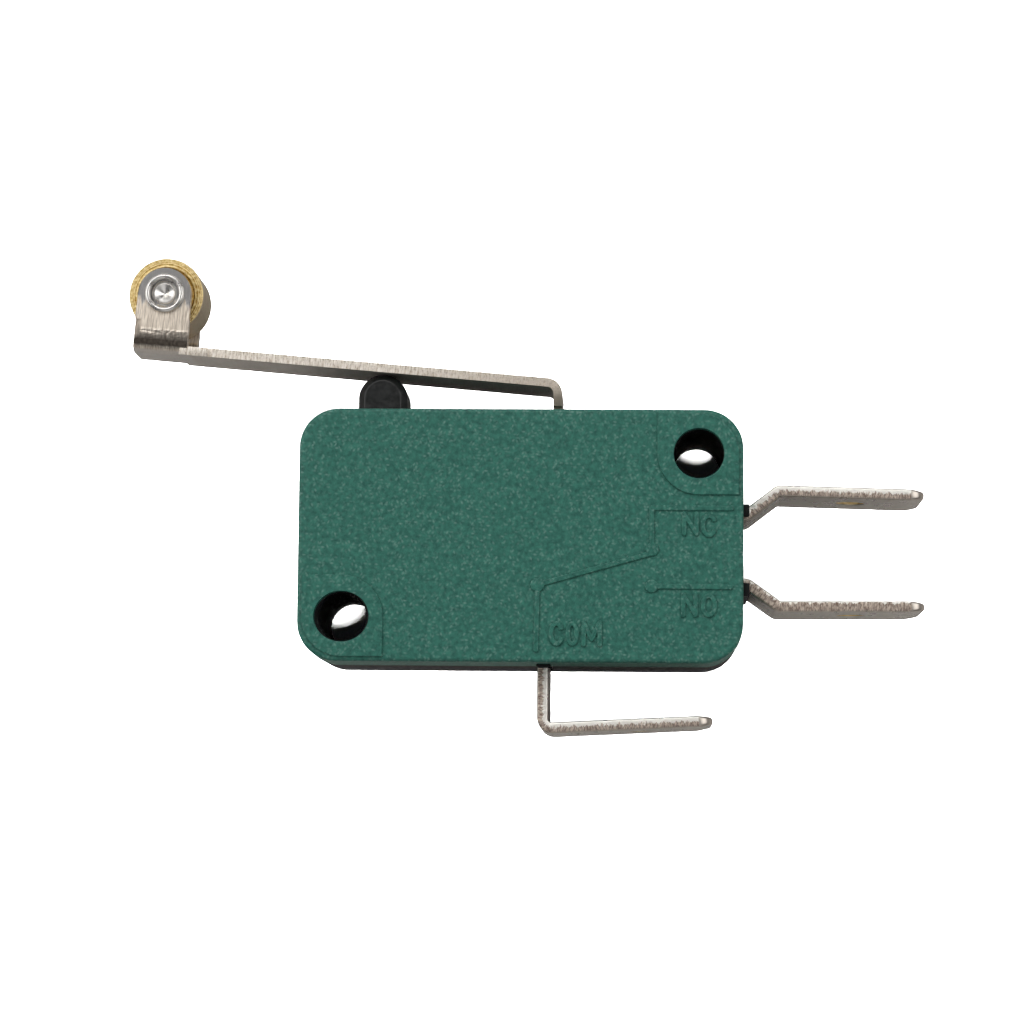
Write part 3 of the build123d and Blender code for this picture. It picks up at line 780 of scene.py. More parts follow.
def make_terminal(name, points, inner, trim_low, trim_high):
    """A folded tab, bevelled, clipped and drilled at its tip and narrower inside the case."""
    low = middle - tab_width / 2
    high = middle + tab_width / 2
    tip = Vector(points[-1])
    along = (tip - Vector(points[-2])).normalized()
    before_tip = tip - along * tip_bevel
    heading, moves = walk([*points[:-1], before_tip], sheet, inner)
    tab, line = fold(name, points[0], heading, sheet, low, high, [*moves, ("run", tip_bevel)])
    line[-1] = tip
    # the last run is thinned to the bevelled tip
    found = open_with(tab, "face", lambda corners: all((c.xy - tip).length < sheet for c in corners))
    thin = 1 - 2 * tip_thin / sheet
    bpy.ops.transform.resize(value=(1, thin, 1), center_override=(*(tip * mm), 0))
    close()
    round_edges(tab, lambda corners: all((c.xy - tip).length < sheet for c in corners)
                and abs(corners[0].z - corners[1].z) < tiny, tip_clip, 5)
    turn = atan2(along.y, along.x)
    spot = tip - along * tab_hole_back
    cut(tab, disc((*spot, middle), tab_hole_radius, 4 * sheet, (pi / 2, 0, turn)))
    for side in (-1, 1):
        z = sorted((middle + side * inner_half, middle + side * (tab_width / 2 + 1)))
        cut(tab, slab((*trim_low, z[0]), (*trim_high, z[1])))
    print(name, "end faces:", found, "ends at", [round(v, 2) for v in tip])
    return tab, line


inner_end = 6.7
joggle_from = half_x + 0.25
joggle_to = joggle_from + 2.0
side_tip = joggle_to + 9.13
nc_points = [(inner_end, nc_level), (joggle_from, nc_level), (joggle_to, 3.06), (side_tip, 2.82)]
no_points = [(inner_end, no_level), (joggle_from, no_level), (joggle_to, -4.24), (side_tip, -4.18)]
tab_nc, nc_line = make_terminal("tab_normally_closed", nc_points, [joggle_inner] * 2,
                                (0, nc_level - 1), (hollow_x, nc_level + 1))
tab_no, no_line = make_terminal("tab_normally_open", no_points, [joggle_inner] * 2,
                                (0, no_level - 1), (hollow_x, no_level + 1))

# %% [markdown]
# ### The common terminal
# The third tab comes out of the bottom wall and turns towards the right. Inside the case it
# ends in a fork, whose two prongs have V notches that the contact arms rock in.

# %% The common terminal
fork_top = 3.2
fork_low = -2.3
fork_half = 1.3
notch_deep = 0.2
common_corner = -half_y - 3.98
common_tip = (terminal_x + 10.63, common_corner + 0.54)
common_points = [(terminal_x, fork_top), (terminal_x, common_corner), common_tip]
tab_com, com_line = make_terminal("tab_common", common_points, [common_inner],
                                  (terminal_x - 1, -hollow_y), (terminal_x + 1, fork_top + 1))
cut(tab_com, slab((terminal_x - 1, fork_low, middle - fork_half),
                  (terminal_x + 1, fork_top + 1, middle + fork_half)))
for x, y in ((terminal_x + sheet / 2, 0.1), (terminal_x - sheet / 2, -1.3)):
    reach = notch_deep * 1.2
    notch = slab((x - reach, y - reach, 0), (x + reach, y + reach, pad_face))
    only(notch)
    bpy.ops.transform.rotate(value=pi / 4, orient_axis="Z", center_override=(x * mm, y * mm, 0))
    cut(tab_com, settle(notch, "notch"))
for tab, line in ((tab_nc, nc_line), (tab_no, no_line), (tab_com, com_line)):
    edge_wear(tab, tab_edge_round, 40, 3)
    soften(tab)
    for _ in range(3):
        tab.data.materials.append(None)
    read_sheet(tab, line)
    spot = line[-1] + (line[-2] - line[-1]).normalized() * tab_hole_back
    for polygon in tab.data.polygons:
        centre = polygon.center / mm
        from_hole = Vector((*spot, middle)) - centre
        if polygon.material_index == 1 and from_hole.length < tab_hole_radius + 0.3:
            polygon.material_index = 2
        # the tip was coined smooth after it was sheared
        if (centre.xy - line[-1]).length < tip_clip:
            polygon.material_index = 0
print("tabs:", [len(t.data.polygons) for t in (tab_nc, tab_no, tab_com)])

# %% [markdown]
# ## The lever
# One stainless strip makes the whole lever: a foot that hooks under the case wall, a narrow
# leg, a bend, the long arm, and at its end a channel whose two ears hold the roller.

# %% The arm, the leg and the foot
strip_thick = 0.55
strip_half = 2.35
slope = radians(4.88)
corner_x = leg_left
corner_y = 9.683
foot_bottom = 5.75
roller_out = 25.24
roller_up = 3.77
ear_half = 1.75
lap = 0.5


def on_strip(back, up):
    """A place measured back along the arm from its bend, and up from its underside."""
    x = corner_x - back * cos(slope) + up * sin(slope)
    y = corner_y + back * sin(slope) + up * cos(slope)
    return Vector((x, y))


bend_inner = 0.45
end = on_strip(roller_out - ear_half + lap, strip_thick / 2)
corner = on_strip(0, 0) + Vector((strip_thick / 2, strip_thick / 2 * (1 - sin(slope)) / cos(slope)))
arm_points = [(leg_left + strip_thick / 2, foot_bottom), corner, end]
heading, moves = walk(arm_points, strip_thick, [bend_inner])
lever, lever_line = fold("lever_strip", arm_points[0], heading, strip_thick, middle - strip_half,
                         middle + strip_half, moves)
leg_half = 1.7
shoulder_y = corner_y - 1.2
for side in (-1, 1):
    z = sorted((middle + side * leg_half, middle + side * (strip_half + 1)))
    cut(lever, slab((leg_left - 1, foot_bottom - 1, z[0]), (leg_right + 1, shoulder_y, z[1])))
foot = slab((leg_left, foot_bottom, middle - 2.6), (leg_right, foot_bottom + 0.9, middle + 2.6))
join(lever, foot)
print("arm length:", round((end - corner).length, 2))

# %% [markdown]
# ### The yoke
# The channel is drawn flat, as a strip that comes down one ear, turns along the floor and goes
# up the other ear. Then its ears get their round tops and it is turned into place.

# %% The channel and its ears
yoke_half = 2.7
yoke_inner = 0.75
ear_round = 1.65
ear_narrow = ear_round / ear_half
ear_top = roller_up + ear_round
section = [(-yoke_half + strip_thick / 2, ear_top), (-yoke_half + strip_thick / 2, strip_thick / 2),
           (yoke_half - strip_thick / 2, strip_thick / 2), (yoke_half - strip_thick / 2, ear_top)]
heading, moves = walk(section, strip_thick, [yoke_inner] * 2)
yoke, yoke_line = fold("yoke", section[0], heading, strip_thick, -ear_half, ear_half, moves)



def at_top(corners):
    """An edge or a face that lies wholly in the tops of the ears."""
    return all(abs(c.y - ear_top) < tiny for c in corners)


open_with(yoke, "face", at_top)
bpy.ops.transform.resize(value=(1, 1, ear_narrow), center_override=(0, ear_top * mm, 0))
close()
round_edges(yoke, lambda c: at_top(c) and abs(c[0].z - c[1].z) < tiny < abs(c[0].x - c[1].x),
            ear_round - 0.01, 16)
print("yoke faces:", len(yoke.data.polygons))

# %% Set the yoke in its place
# flat X goes to the case's depth, flat Y stands up from the arm, and flat Z runs along it
origin = on_strip(roller_out, 0)
across = Vector((0, 0, 1))
up = Vector((sin(slope), cos(slope), 0))
along = across.cross(up)
place = Matrix((across, up, along)).transposed().to_4x4()
place.translation = Vector((*origin, middle)) * mm
yoke.matrix_world = place
settle(yoke, "yoke")
join(lever, yoke)
roller_low, roller_high = (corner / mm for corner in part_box("roller"))
roller_at = (roller_low + roller_high) / 2
roller_radius = (roller_high.x - roller_low.x) / 2
pin_radius = 0.8
cut(lever, disc(roller_at, pin_radius, 12))
# the corners of the floor's far end are clipped
clip_size = 0.45 * 2**0.5
for side in (-1, 1):
    spot = on_strip(roller_out + ear_half, 0)
    clip = slab((-clip_size / 2, -2, -clip_size / 2), (clip_size / 2, 2, clip_size / 2))
    turn = Matrix.Rotation(-slope, 4, "Z") @ Matrix.Rotation(pi / 4, 4, "Y")
    turn.translation = Vector((*spot, middle + side * yoke_half)) * mm
    clip.matrix_world = turn
    cut(lever, settle(clip, "clip"))
# a small nick in the front edge, near the yoke
nick_back = 22.0
nick_half = 0.11
nick_deep = 0.15
spot = on_strip(nick_back, strip_thick / 2)
nick = slab((-nick_half, -2, -nick_deep), (nick_half, 2, nick_deep))
turn = Matrix.Rotation(-slope, 4, "Z")
turn.translation = Vector((*spot, middle + strip_half)) * mm
nick.matrix_world = turn
cut(lever, settle(nick, "nick"))
lever_edge_round = 0.08
edge_wear(lever, lever_edge_round, 40, 3)
soften(lever)
lever.data.materials.append(None)
lever.data.materials.append(None)
yoke_starts = on_strip(roller_out - ear_half - 0.1, 0).x
back_to_flat = place.copy()
back_to_flat.translation = Vector((*origin, middle))
read_sheet(lever, lever_line, -1, region=lambda c: c.x > yoke_starts)
read_sheet(lever, yoke_line, 1, back_to_flat.inverted(), lambda c: c.x <= yoke_starts)
print("lever faces:", len(lever.data.polygons), "roller at", [round(v, 2) for v in roller_at])

# %% [markdown]
# ## Turned parts
# The roller and the rivet were made on a lathe or headed to a round form. Their outline is
# walked ring by ring: a circle is extruded in place and then scaled and moved to the next
# point of the outline.

# %% Turn an outline
round_sides = 96


def turned(name, place, outline, closed):
    """A round piece from an outline of (radius, height) points. A closed one is a ring with a bore."""
    place = Vector(place)
    radius, height = outline[0]
    bpy.ops.mesh.primitive_circle_add(vertices=round_sides, radius=radius * mm,
                                      fill_type="NOTHING" if closed else "TRIFAN",
                                      location=(place + Vector((0, 0, height))) * mm)
    piece = settle(bpy.context.active_object, name)
    rim = lambda corners: all((c.xy - place.xy).length > radius * 0.9 for c in corners)
    open_with(piece, "edge", rim)
    for next_radius, next_height in outline[1:]:
        rise = (next_height - height) * mm
        bpy.ops.mesh.extrude_region_move(TRANSFORM_OT_translate={"value": (0, 0, rise)})
        ratio = next_radius / radius
        bpy.ops.transform.resize(value=(ratio, ratio, 1),
                                 center_override=(place + Vector((0, 0, next_height))) * mm)
        radius, height = next_radius, next_height
    if not closed:
        bpy.ops.mesh.merge(type="CENTER")
    bpy.ops.mesh.select_all(action="SELECT")
    bpy.ops.mesh.remove_doubles(threshold=tiny * mm / 4)
    bpy.ops.mesh.normals_make_consistent(inside=False)
    close()
    return piece


def arc(centre_radius, centre_height, radius, start, end, steps=6):
    """Points of an arc of the outline, with angles in degrees from the outward direction."""
    turns = [radians(start + (end - start) * i / steps) for i in range(steps + 1)]
    return [(centre_radius + radius * cos(t), centre_height + radius * sin(t)) for t in turns]


print("outlines can be turned")

# %% [markdown]
# ### Roller and rivet
# The brass roller has turned faces with a shallow groove. The rivet's ends were rolled over:
# a bright ring stands round a dimpled core.

# %% The roller
half_roller = (roller_high.z - roller_low.z) / 2
bore = pin_radius + 0.04
soft = 0.06
groove_at = 1.75
groove_half = 0.12
groove_deep = 0.08
roller_outline = [(bore, -half_roller)]
roller_outline += arc(roller_radius - soft, -half_roller + soft, soft, -90, 0, 4)
roller_outline += arc(roller_radius - soft, half_roller - soft, soft, 0, 90, 4)
roller_outline += [(groove_at + groove_half, half_roller), (groove_at, half_roller - groove_deep),
                   (groove_at - groove_half, half_roller), (bore, half_roller), (bore, -half_roller)]
roller = turned("brass_roller", roller_at, roller_outline, True)
soften(roller, 30)
print("roller radius", round(roller_radius, 2), "faces", len(roller.data.polygons))

# %% The rivet
seat = yoke_half
ring_outer = 1.24
ring_wall = 0.32
ring_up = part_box("roller_pin")[1].z / mm - middle - seat
ring_bead = ring_wall / 2
core = 0.66
half_outline = [(pin_radius, seat), (ring_outer - 0.04, seat)]
half_outline += arc(ring_outer - ring_bead, seat + ring_up - ring_bead, ring_bead, 0, 180, 10)
half_outline += [(ring_outer - ring_wall, seat - 0.12), (core + 0.02, seat - 0.12)]
core_outline = [(core, 0), (core - 0.02, 0.03), (core - 0.05, 0.04), (0.58, 0.02), (0.45, -0.04),
                (0.3, -0.12), (0.16, -0.21), (0.07, -0.28), (0.01, -0.3)]
half_outline += [(radius, seat + up) for radius, up in core_outline]
rivet_outline = [(r, -h) for r, h in reversed(half_outline)] + half_outline
rivet = turned("rivet", (roller_at.x, roller_at.y, middle), rivet_outline, False)
soften(rivet, 40)
print("rivet faces", len(rivet.data.polygons))
for shell in (cover, base):
    soften(shell, 40)

# %% [markdown]
# ## Finishes
# Each finish starts from what the material is and how its surface was made. One function turns
# the usual hex colours to the linear values that the shader wants, and one adds a node. Values
# that it gets by a small name are the node's settings, and the others are its inputs: a plain
# value, or the output of another node. Where two inputs have one name, the later one goes by
# its identifier, such as Value_001. The last function makes the plain finishes.

# %% Colour and node helpers
def colour(text):
    """An sRGB hex colour as linear red, green, blue and alpha."""
    parts = [int(text[i:i + 2], 16) / 255 for i in (1, 3, 5)]
    return (*[p / 12.92 if p <= 0.04045 else ((p + 0.055) / 1.055) ** 2.4 for p in parts], 1.0)


def put(tree, kind, give=None, **values):
    """Add a node with its settings and inputs. Gives the output of that name, or the first one."""
    added = tree.nodes.new("ShaderNode" + kind)
    for name, value in values.items():
        if name.islower():
            setattr(added, name, value)
            continue
        socket = next(s for s in added.inputs
                      if s.enabled and name in (s.identifier, s.name.replace(" ", "_")))
        if isinstance(value, bpy.types.NodeSocket):
            tree.links.new(value, socket)
        else:
            socket.default_value = value
    return added.outputs[give] if give else next((s for s in added.outputs if s.enabled), None)


def new_finish(name):
    """An empty material with only its output."""
    finish = bpy.data.materials.new(name)
    finish.use_nodes = True
    finish.node_tree.nodes.clear()
    return finish, finish.node_tree


def finish_with(tree, **inputs):
    """Join the surface shader to the output."""
    surface = put(tree, "BsdfPrincipled", **inputs)
    put(tree, "OutputMaterial", Surface=surface)


per_mm = 1 / mm


def clouded(name, tones, roughs, grain, detail, relief=None, low_end=0.3, **shader):
    """A finish whose colour, roughness and relief follow one soft pattern, grain mm wide.

    A single tone or roughness is a constant. Relief is a strength and a height in mm.
    """
    finish, tree = new_finish(name)
    spot = put(tree, "TexCoord", "Object")
    cloud = put(tree, "TexNoise", Vector=spot, Scale=per_mm / grain, Detail=detail)
    shader["Base_Color"] = colour(tones[0])
    shader["Roughness"] = roughs[0]
    if len(tones) > 1:
        shader["Base_Color"] = put(tree, "Mix", data_type="RGBA", Factor=cloud, A=colour(tones[0]),
                                   B=colour(tones[1]))
    if len(roughs) > 1:
        shader["Roughness"] = put(tree, "MapRange", Value=cloud, From_Min=low_end, From_Max=0.7,
                                  To_Min=roughs[0], To_Max=roughs[1])
    if relief:
        shader["Normal"] = put(tree, "Bump", Strength=relief[0], Distance=relief[1] * mm, Height=cloud)
    finish_with(tree, **shader)
    return finish


print("white is", colour("#FFFFFF"))

# %% [markdown]
# ### Glass-filled nylon, moulded
# The cover is dark green nylon filled with short glass fibre. The ground is a little cloudy, and
# the fibres that lie just under the skin show as pale flecks, a tenth of a millimetre wide and
# up to a third of a millimetre long, in every direction. Three layers of stretched cells, each
# turned another way, give the flecks. Only some of the cells get one.

# %% Green nylon
fleck_cell = 0.19
fleck_long = 1.7
fleck_pale = 0.66
green_nylon, tree = new_finish("green_nylon")
spot = put(tree, "TexCoord", "Object")
flecks = 0.0
for turn, share in ((25, 0.5), (85, 0.56), (145, 0.53)):
    laid = put(tree, "Mapping", vector_type="TEXTURE", Vector=spot, Rotation=(0, 0, radians(turn)),
               Scale=(1, fleck_long, 1))
    cells = put(tree, "TexVoronoi", feature="F1", Vector=laid, Scale=per_mm / fleck_cell)
    small = put(tree, "MapRange", Value=cells, From_Min=0.5, From_Max=0.1)
    lot = put(tree, "SeparateColor", Color=cells.node.outputs["Color"])
    kept = put(tree, "MapRange", Value=lot, From_Min=share, To_Max=fleck_pale)
    layer = put(tree, "Math", operation="MULTIPLY", Value=small, Value_001=kept)
    flecks = put(tree, "Math", operation="MAXIMUM", Value=flecks, Value_001=layer)
cloud = put(tree, "TexNoise", Vector=spot, Scale=per_mm / 0.3, Detail=5.0, Roughness=0.6)
mixed = put(tree, "MapRange", Value=cloud, From_Min=0.3, From_Max=0.7)
ground = put(tree, "Mix", data_type="RGBA", Factor=mixed, A=colour("#1C564C"), B=colour("#377A6A"))
tone = put(tree, "Mix", data_type="RGBA", Factor=flecks, A=ground, B=colour("#739D90"))
grain = put(tree, "TexNoise", Vector=spot, Scale=per_mm / 0.09, Detail=2.0)
relief = put(tree, "Bump", Strength=0.45, Distance=0.02 * mm, Height=grain)
finish_with(tree, Base_Color=tone, Roughness=0.48, IOR=1.53, Specular_IOR_Level=0.35, Normal=relief)
print("flecks", round(fleck_cell / 2, 2), "mm wide")

# %% [markdown]
# ### Black moulding
# The base is a black moulding with a half-matt skin. The plunger is a black nylon with a
# smoother skin, lightly scuffed in soft patches all over.

# %% Black plastics
black_base = clouded("black_thermoset", ["#101212"], (0.5, 0.66), 0.3, 5.0, (0.3, 0.01),
                     IOR=1.45, Specular_IOR_Level=0.3)
black_polished = clouded("black_polished_nylon", ("#0B0C0C", "#222322"), (0.3, 0.5), 0.25, 5.0,
                         (0.4, 0.02), low_end=0.35, IOR=1.53)
print("two blacks")

# %% [markdown]
# ### Brushed strip
# The lever was brushed across its length before it was blanked, so fine lines run up its ears.
# Round the rivet the ears were rubbed smooth when the rivet was headed, and show darker, like
# any polished metal under a dark ceiling. The bend has small lumps, because the skin of the
# strip stretched there.

# %% Brushed stainless steel
line_apart = 0.075
line_long = 14
fall = 0.1
waver = 0.6 * mm
rolled_steel, tree = new_finish("brushed_stainless")
spot = put(tree, "TexCoord", "Object")
centred = put(tree, "Mapping", vector_type="TEXTURE", Vector=spot,
              Location=(roller_at.x * mm, roller_at.y * mm, 0), Rotation=(0, 0, -slope))
along_arm = put(tree, "SeparateXYZ", "X", Vector=centred)
up_ear = put(tree, "SeparateXYZ", "Y", Vector=centred)
stretched = put(tree, "Mapping", Vector=centred, Scale=(1, 1 / line_long, 1 / line_long))
lines = put(tree, "TexNoise", Vector=stretched, Scale=per_mm / line_apart, Detail=2.0, Roughness=0.6)
drift = put(tree, "TexNoise", Vector=stretched, Scale=per_mm / 0.5, Detail=2.0)
# bands across the ear, each by the two heights over the roller's axis between which it comes in
low_part, under, reflection_band_top, reflection_band_end = (
    put(tree, "MapRange", Value=up_ear, From_Min=start * mm, From_Max=full * mm)
    for start, full in ((-2.25, -2.4), (-3.5, -3.62), (-2.65, -3.0), (-3.4, -3.28)))
# the arm beyond the ears stayed brushed
near_part = put(tree, "MapRange", Value=along_arm, From_Min=2.1 * mm, From_Max=1.8 * mm)
# the border of the smooth part falls towards the right and is drawn out along the lines
level = put(tree, "Math", operation="MULTIPLY_ADD", Value=along_arm, Value_001=fall, Value_002=up_ear)
ragged = put(tree, "MapRange", clamp=False, Value=drift, From_Min=0.3, From_Max=0.7,
             To_Min=-waver, To_Max=waver)
edge = put(tree, "Math", operation="ADD", Value=level, Value_001=ragged)
rubbed = put(tree, "MapRange", Value=edge, From_Min=-0.85 * mm, From_Max=-0.5 * mm)
smooth_part = put(tree, "Math", operation="MULTIPLY", Value=rubbed, Value_001=near_part)
brushed_tone = put(tree, "MapRange", Value=lines, From_Min=0.32, From_Max=0.68)
brushed = put(tree, "Mix", data_type="RGBA", Factor=brushed_tone, A=colour("#C0B3A4"),
              B=colour("#FFF5E6"))
tone = put(tree, "Mix", data_type="RGBA", Factor=smooth_part, A=brushed, B=colour("#D8D5D2"))
dimples = put(tree, "TexNoise", Vector=spot, Scale=per_mm / 0.2, Detail=3.0)
lumps = put(tree, "Math", operation="MULTIPLY", Value=dimples, Value_001=4.0)
bend_part = put(tree, "Math", operation="MULTIPLY", Value=low_part, Value_001=near_part)
height = put(tree, "Mix", data_type="FLOAT", Factor=bend_part, A=lines, B=lumps)
relief = put(tree, "Bump", Strength=0.5, Distance=0.02 * mm, Height=height)
# smooth where it was rubbed and where the bending die pressed, rough where it is still brushed
pressed = put(tree, "Math", operation="MAXIMUM", Value=smooth_part, Value_001=bend_part)
brushed_rough = put(tree, "MapRange", Value=lines, From_Min=0.3, From_Max=0.7, To_Min=0.48,
                    To_Max=0.68)
rough = put(tree, "Mix", data_type="FLOAT", Factor=pressed, A=brushed_rough, B=0.3)
# the underside kept the smooth skin of the mill
tone = put(tree, "Mix", data_type="RGBA", Factor=under, A=tone, B=colour("#D6CFC7"))
# a dark band painted along the lower half of the bend: a painted reflection of the dark room, where the
# bend turns from the ear to the channel's floor
painted_reflection_band = put(tree, "Math", operation="MULTIPLY", Value=reflection_band_top, Value_001=reflection_band_end)
painted_reflection_on_bend = put(tree, "Math", operation="MULTIPLY", Value=painted_reflection_band, Value_001=near_part)
tone = put(tree, "Mix", data_type="RGBA", Factor=painted_reflection_on_bend, A=tone, B=colour("#6A6259"))
finish_with(tree, Base_Color=tone, Metallic=1.0, Roughness=rough, Normal=relief)
print("brushed lines", line_apart, "mm apart")

# %% [markdown]
# ### Sheared edges
# A punch shears the first part of the thickness and tears the rest. On the thin steel of the
# lever that leaves a pale edge with fine marks across it, with a painted highlight that grows
# towards the roller and painted shade on the leg. On the thicker brass of the tabs the plating
# covers a lumpy edge: the sheared side shines and the torn side is dull and brownish, and the
# shining upper half also carries a painted highlight.

# %% Sheared steel
sheared_steel, tree = new_finish("sheared_stainless")
sheet_uv = put(tree, "UVMap", uv_map="sheet")
drawn = put(tree, "Mapping", Vector=sheet_uv, Scale=(1, 0.15, 1))
marks = put(tree, "TexNoise", Vector=drawn, Scale=1 / 0.12, Detail=3.0, Roughness=0.65)
spot = put(tree, "TexCoord", "Object")
pits = put(tree, "TexNoise", Vector=spot, Scale=per_mm / 0.13, Detail=4.0, Roughness=0.7)
pitted = put(tree, "MapRange", Value=pits, From_Min=0.4, From_Max=0.6)
marked = put(tree, "MapRange", Value=marks, From_Min=0.35, From_Max=0.62)
dull = put(tree, "Mix", data_type="RGBA", Factor=pitted, A=colour("#B4A695"), B=colour("#E3D8C8"))
# painted light along the edge: a painted highlight that grows towards the roller, and painted shade on
# the leg, which stands beside the case wall
along_strip = put(tree, "SeparateXYZ", "X", Vector=sheet_uv)
far, on_arm = (put(tree, "MapRange", Value=along_strip, From_Min=from_start + start,
                   From_Max=from_start + full) for start, full in ((4.0, 16.0), (3.3, 4.1)))
painted_highlight_tone = put(tree, "Mix", data_type="RGBA", Factor=far, A=colour("#D2C8BC"), B=colour("#FFF8EE"))
pale = put(tree, "Mix", data_type="RGBA", Factor=marked, A=dull, B=painted_highlight_tone)
tone = put(tree, "Mix", data_type="RGBA", Factor=on_arm, A=colour("#9A9184"), B=pale)
relief = put(tree, "Bump", Strength=0.55, Distance=0.02 * mm, Height=marks)
finish_with(tree, Base_Color=tone, Metallic=1.0, Roughness=0.58, Normal=relief)
print("sheared steel ready")

# %% Sheared and plated brass
def sheared_plating(name, reach):
    """A plated edge, one side bright: the burnished shear and a painted highlight. Reach is how far the
    bright side passes the middle, in mm.
    """
    finish, tree = new_finish(name)
    sheet_uv = put(tree, "UVMap", uv_map="sheet")
    across_sheet = put(tree, "SeparateXYZ", "Y", Vector=sheet_uv)
    drawn = put(tree, "Mapping", Vector=sheet_uv, Scale=(1, 0.3, 1))
    teeth = put(tree, "TexNoise", Vector=drawn, Scale=1 / 0.28, Detail=4.0, Roughness=0.65)
    sway = put(tree, "MapRange", clamp=False, Value=teeth, From_Min=0.3, From_Max=0.7,
               To_Min=-0.2, To_Max=0.2)
    level = put(tree, "Math", operation="ADD", Value=across_sheet, Value_001=sway)
    rim = put(tree, "MapRange", Value=level, From_Min=-0.05 - reach, From_Max=0.03 - reach)
    spot = put(tree, "TexCoord", "Object")
    pits = put(tree, "TexNoise", Vector=spot, Scale=per_mm / 0.14, Detail=4.0, Roughness=0.7)
    streaks = put(tree, "TexNoise", Vector=drawn, Scale=1 / 0.1, Detail=3.0, Roughness=0.7)
    streaked = put(tree, "MapRange", Value=streaks, From_Min=0.42, From_Max=0.6)
    torn = put(tree, "Mix", data_type="RGBA", Factor=streaked, A=colour("#8E7D72"), B=colour("#D2C4B6"))
    # the bright side is the burnished shear and a painted highlight, on the upper half that faces the top
    # soft box
    tone = put(tree, "Mix", data_type="RGBA", Factor=rim, A=torn, B=colour("#FFFBF2"))
    rough = put(tree, "MapRange", Value=rim, To_Min=0.5, To_Max=0.36)
    height = put(tree, "Math", operation="MULTIPLY_ADD", Value=pits, Value_001=0.35, Value_002=teeth)
    relief = put(tree, "Bump", Strength=1.0, Distance=0.08 * mm, Height=height)
    finish_with(tree, Base_Color=tone, Metallic=1.0, Roughness=rough, Normal=relief)
    return finish


# the normally open tab's edge gets almost none of the bright side: painted shade
sheared_brass_painted_highlight = sheared_plating("sheared_plated_brass", -0.03)
brass_edge_in_painted_shade = sheared_plating("torn_plated_brass", -0.27)
print("sheared brass ready")

# %% Plated strip and bare brass
plated, tree = new_finish("nickel_plated_strip")
spot = put(tree, "TexCoord", "Object")
haze = put(tree, "TexNoise", Vector=spot, Scale=per_mm / 1.0, Detail=5.0)
rough = put(tree, "MapRange", Value=haze, From_Min=0.3, From_Max=0.7, To_Min=0.24, To_Max=0.4)
tone = put(tree, "Mix", data_type="RGBA", Factor=haze, A=colour("#BDB2A6"), B=colour("#DCD5CB"))
ripple = put(tree, "TexNoise", Vector=spot, Scale=per_mm / 0.5, Detail=3.0)
relief = put(tree, "Bump", Strength=0.3, Distance=0.03 * mm, Height=ripple)
finish_with(tree, Base_Color=tone, Metallic=1.0, Roughness=rough, Normal=relief)
drilled_brass = clouded("drilled_brass", ("#D9B978", "#FFF1C8"), [0.35], 0.2, 3.0, (0.8, 0.05),
                        Metallic=1.0)
print("tab finishes ready")

# %% [markdown]
# ### Turned brass and the headed rivet
# The roller is bare brass from an automatic lathe. Its face keeps fine rings and a tumbled,
# mottled skin, and its rim is dull from running on a cam. The rivet is plated steel, polished
# by the tool that headed it.

# %% Brass and rivet steel
turned_brass, tree = new_finish("turned_brass")
spot = put(tree, "TexCoord", "Object")
from_centre = put(tree, "Mapping", Vector=spot, Scale=(1, 1, 0),
                  Location=(-roller_at.x * mm, -roller_at.y * mm, 0))
from_axis = put(tree, "VectorMath", "Value", operation="LENGTH", Vector=from_centre)
rings = put(tree, "TexNoise", noise_dimensions="1D", W=from_axis, Scale=per_mm / 0.12, Detail=2.0)
skin = put(tree, "TexNoise", Vector=spot, Scale=per_mm / 0.22, Detail=4.0, Roughness=0.65)
face_mix = put(tree, "Math", operation="MULTIPLY_ADD", Value=rings, Value_001=0.9, Value_002=skin)
spread = put(tree, "MapRange", Value=face_mix, From_Min=0.7, From_Max=1.2)
face_tone = put(tree, "Mix", data_type="RGBA", Factor=spread, A=colour("#A27C34"), B=colour("#FFEAB0"))
on_rim = put(tree, "MapRange", Value=from_axis, From_Min=(roller_radius - 0.06) * mm,
             From_Max=(roller_radius - 0.01) * mm)
tone = put(tree, "Mix", data_type="RGBA", Factor=on_rim, A=face_tone, B=colour("#CDBFA5"))
face_rough = put(tree, "MapRange", Value=spread, To_Min=0.36, To_Max=0.5)
rough = put(tree, "Mix", data_type="FLOAT", Factor=on_rim, A=face_rough, B=0.45)
relief = put(tree, "Bump", Strength=0.8, Distance=0.06 * mm, Height=face_mix)
finish_with(tree, Base_Color=tone, Metallic=1.0, Roughness=rough, Normal=relief)
rivet_steel = clouded("plated_rivet_steel", ["#E8E5E0"], (0.24, 0.36), 0.5, 3.0, (0.5, 0.04),
                      Metallic=1.0)
print("brass and rivet finishes ready")

# %% [markdown]
# ### Finishes inside the case
# The contacts are silver, the two arms a copper alloy and the spring a steel wire. They show
# only when the case is taken away, and still get a finish of their own.

# %% Inner finishes
silver = clouded("silver_contact", ("#CFCBC2", "#EDEAE2"), (0.15, 0.3), 0.4, 4.0, Metallic=1.0)
spring_alloy = clouded("copper_alloy_strip", ("#B9764A", "#D69A6B"), (0.2, 0.35), 0.8, 4.0,
                       Metallic=1.0)
spring_wire = clouded("drawn_spring_wire", ("#7E7E7D", "#A6A5A2"), (0.2, 0.35), 0.2, 4.0,
                      Metallic=1.0)
print("inner finishes ready")

# %% [markdown]
# ## Put the finishes on
# Whole pieces take one finish. On sheet metal the faces that were sheared get a second one.

# %% Assign
def wear_one(piece, finish):
    """Give a piece one finish."""
    piece.data.materials.clear()
    piece.data.materials.append(finish)


def wear_each(piece, *finishes):
    """Give sheet metal a finish for its faces, one for its sheared edges and one for its hole."""
    for i, finish in enumerate(finishes):
        piece.data.materials[i] = finish


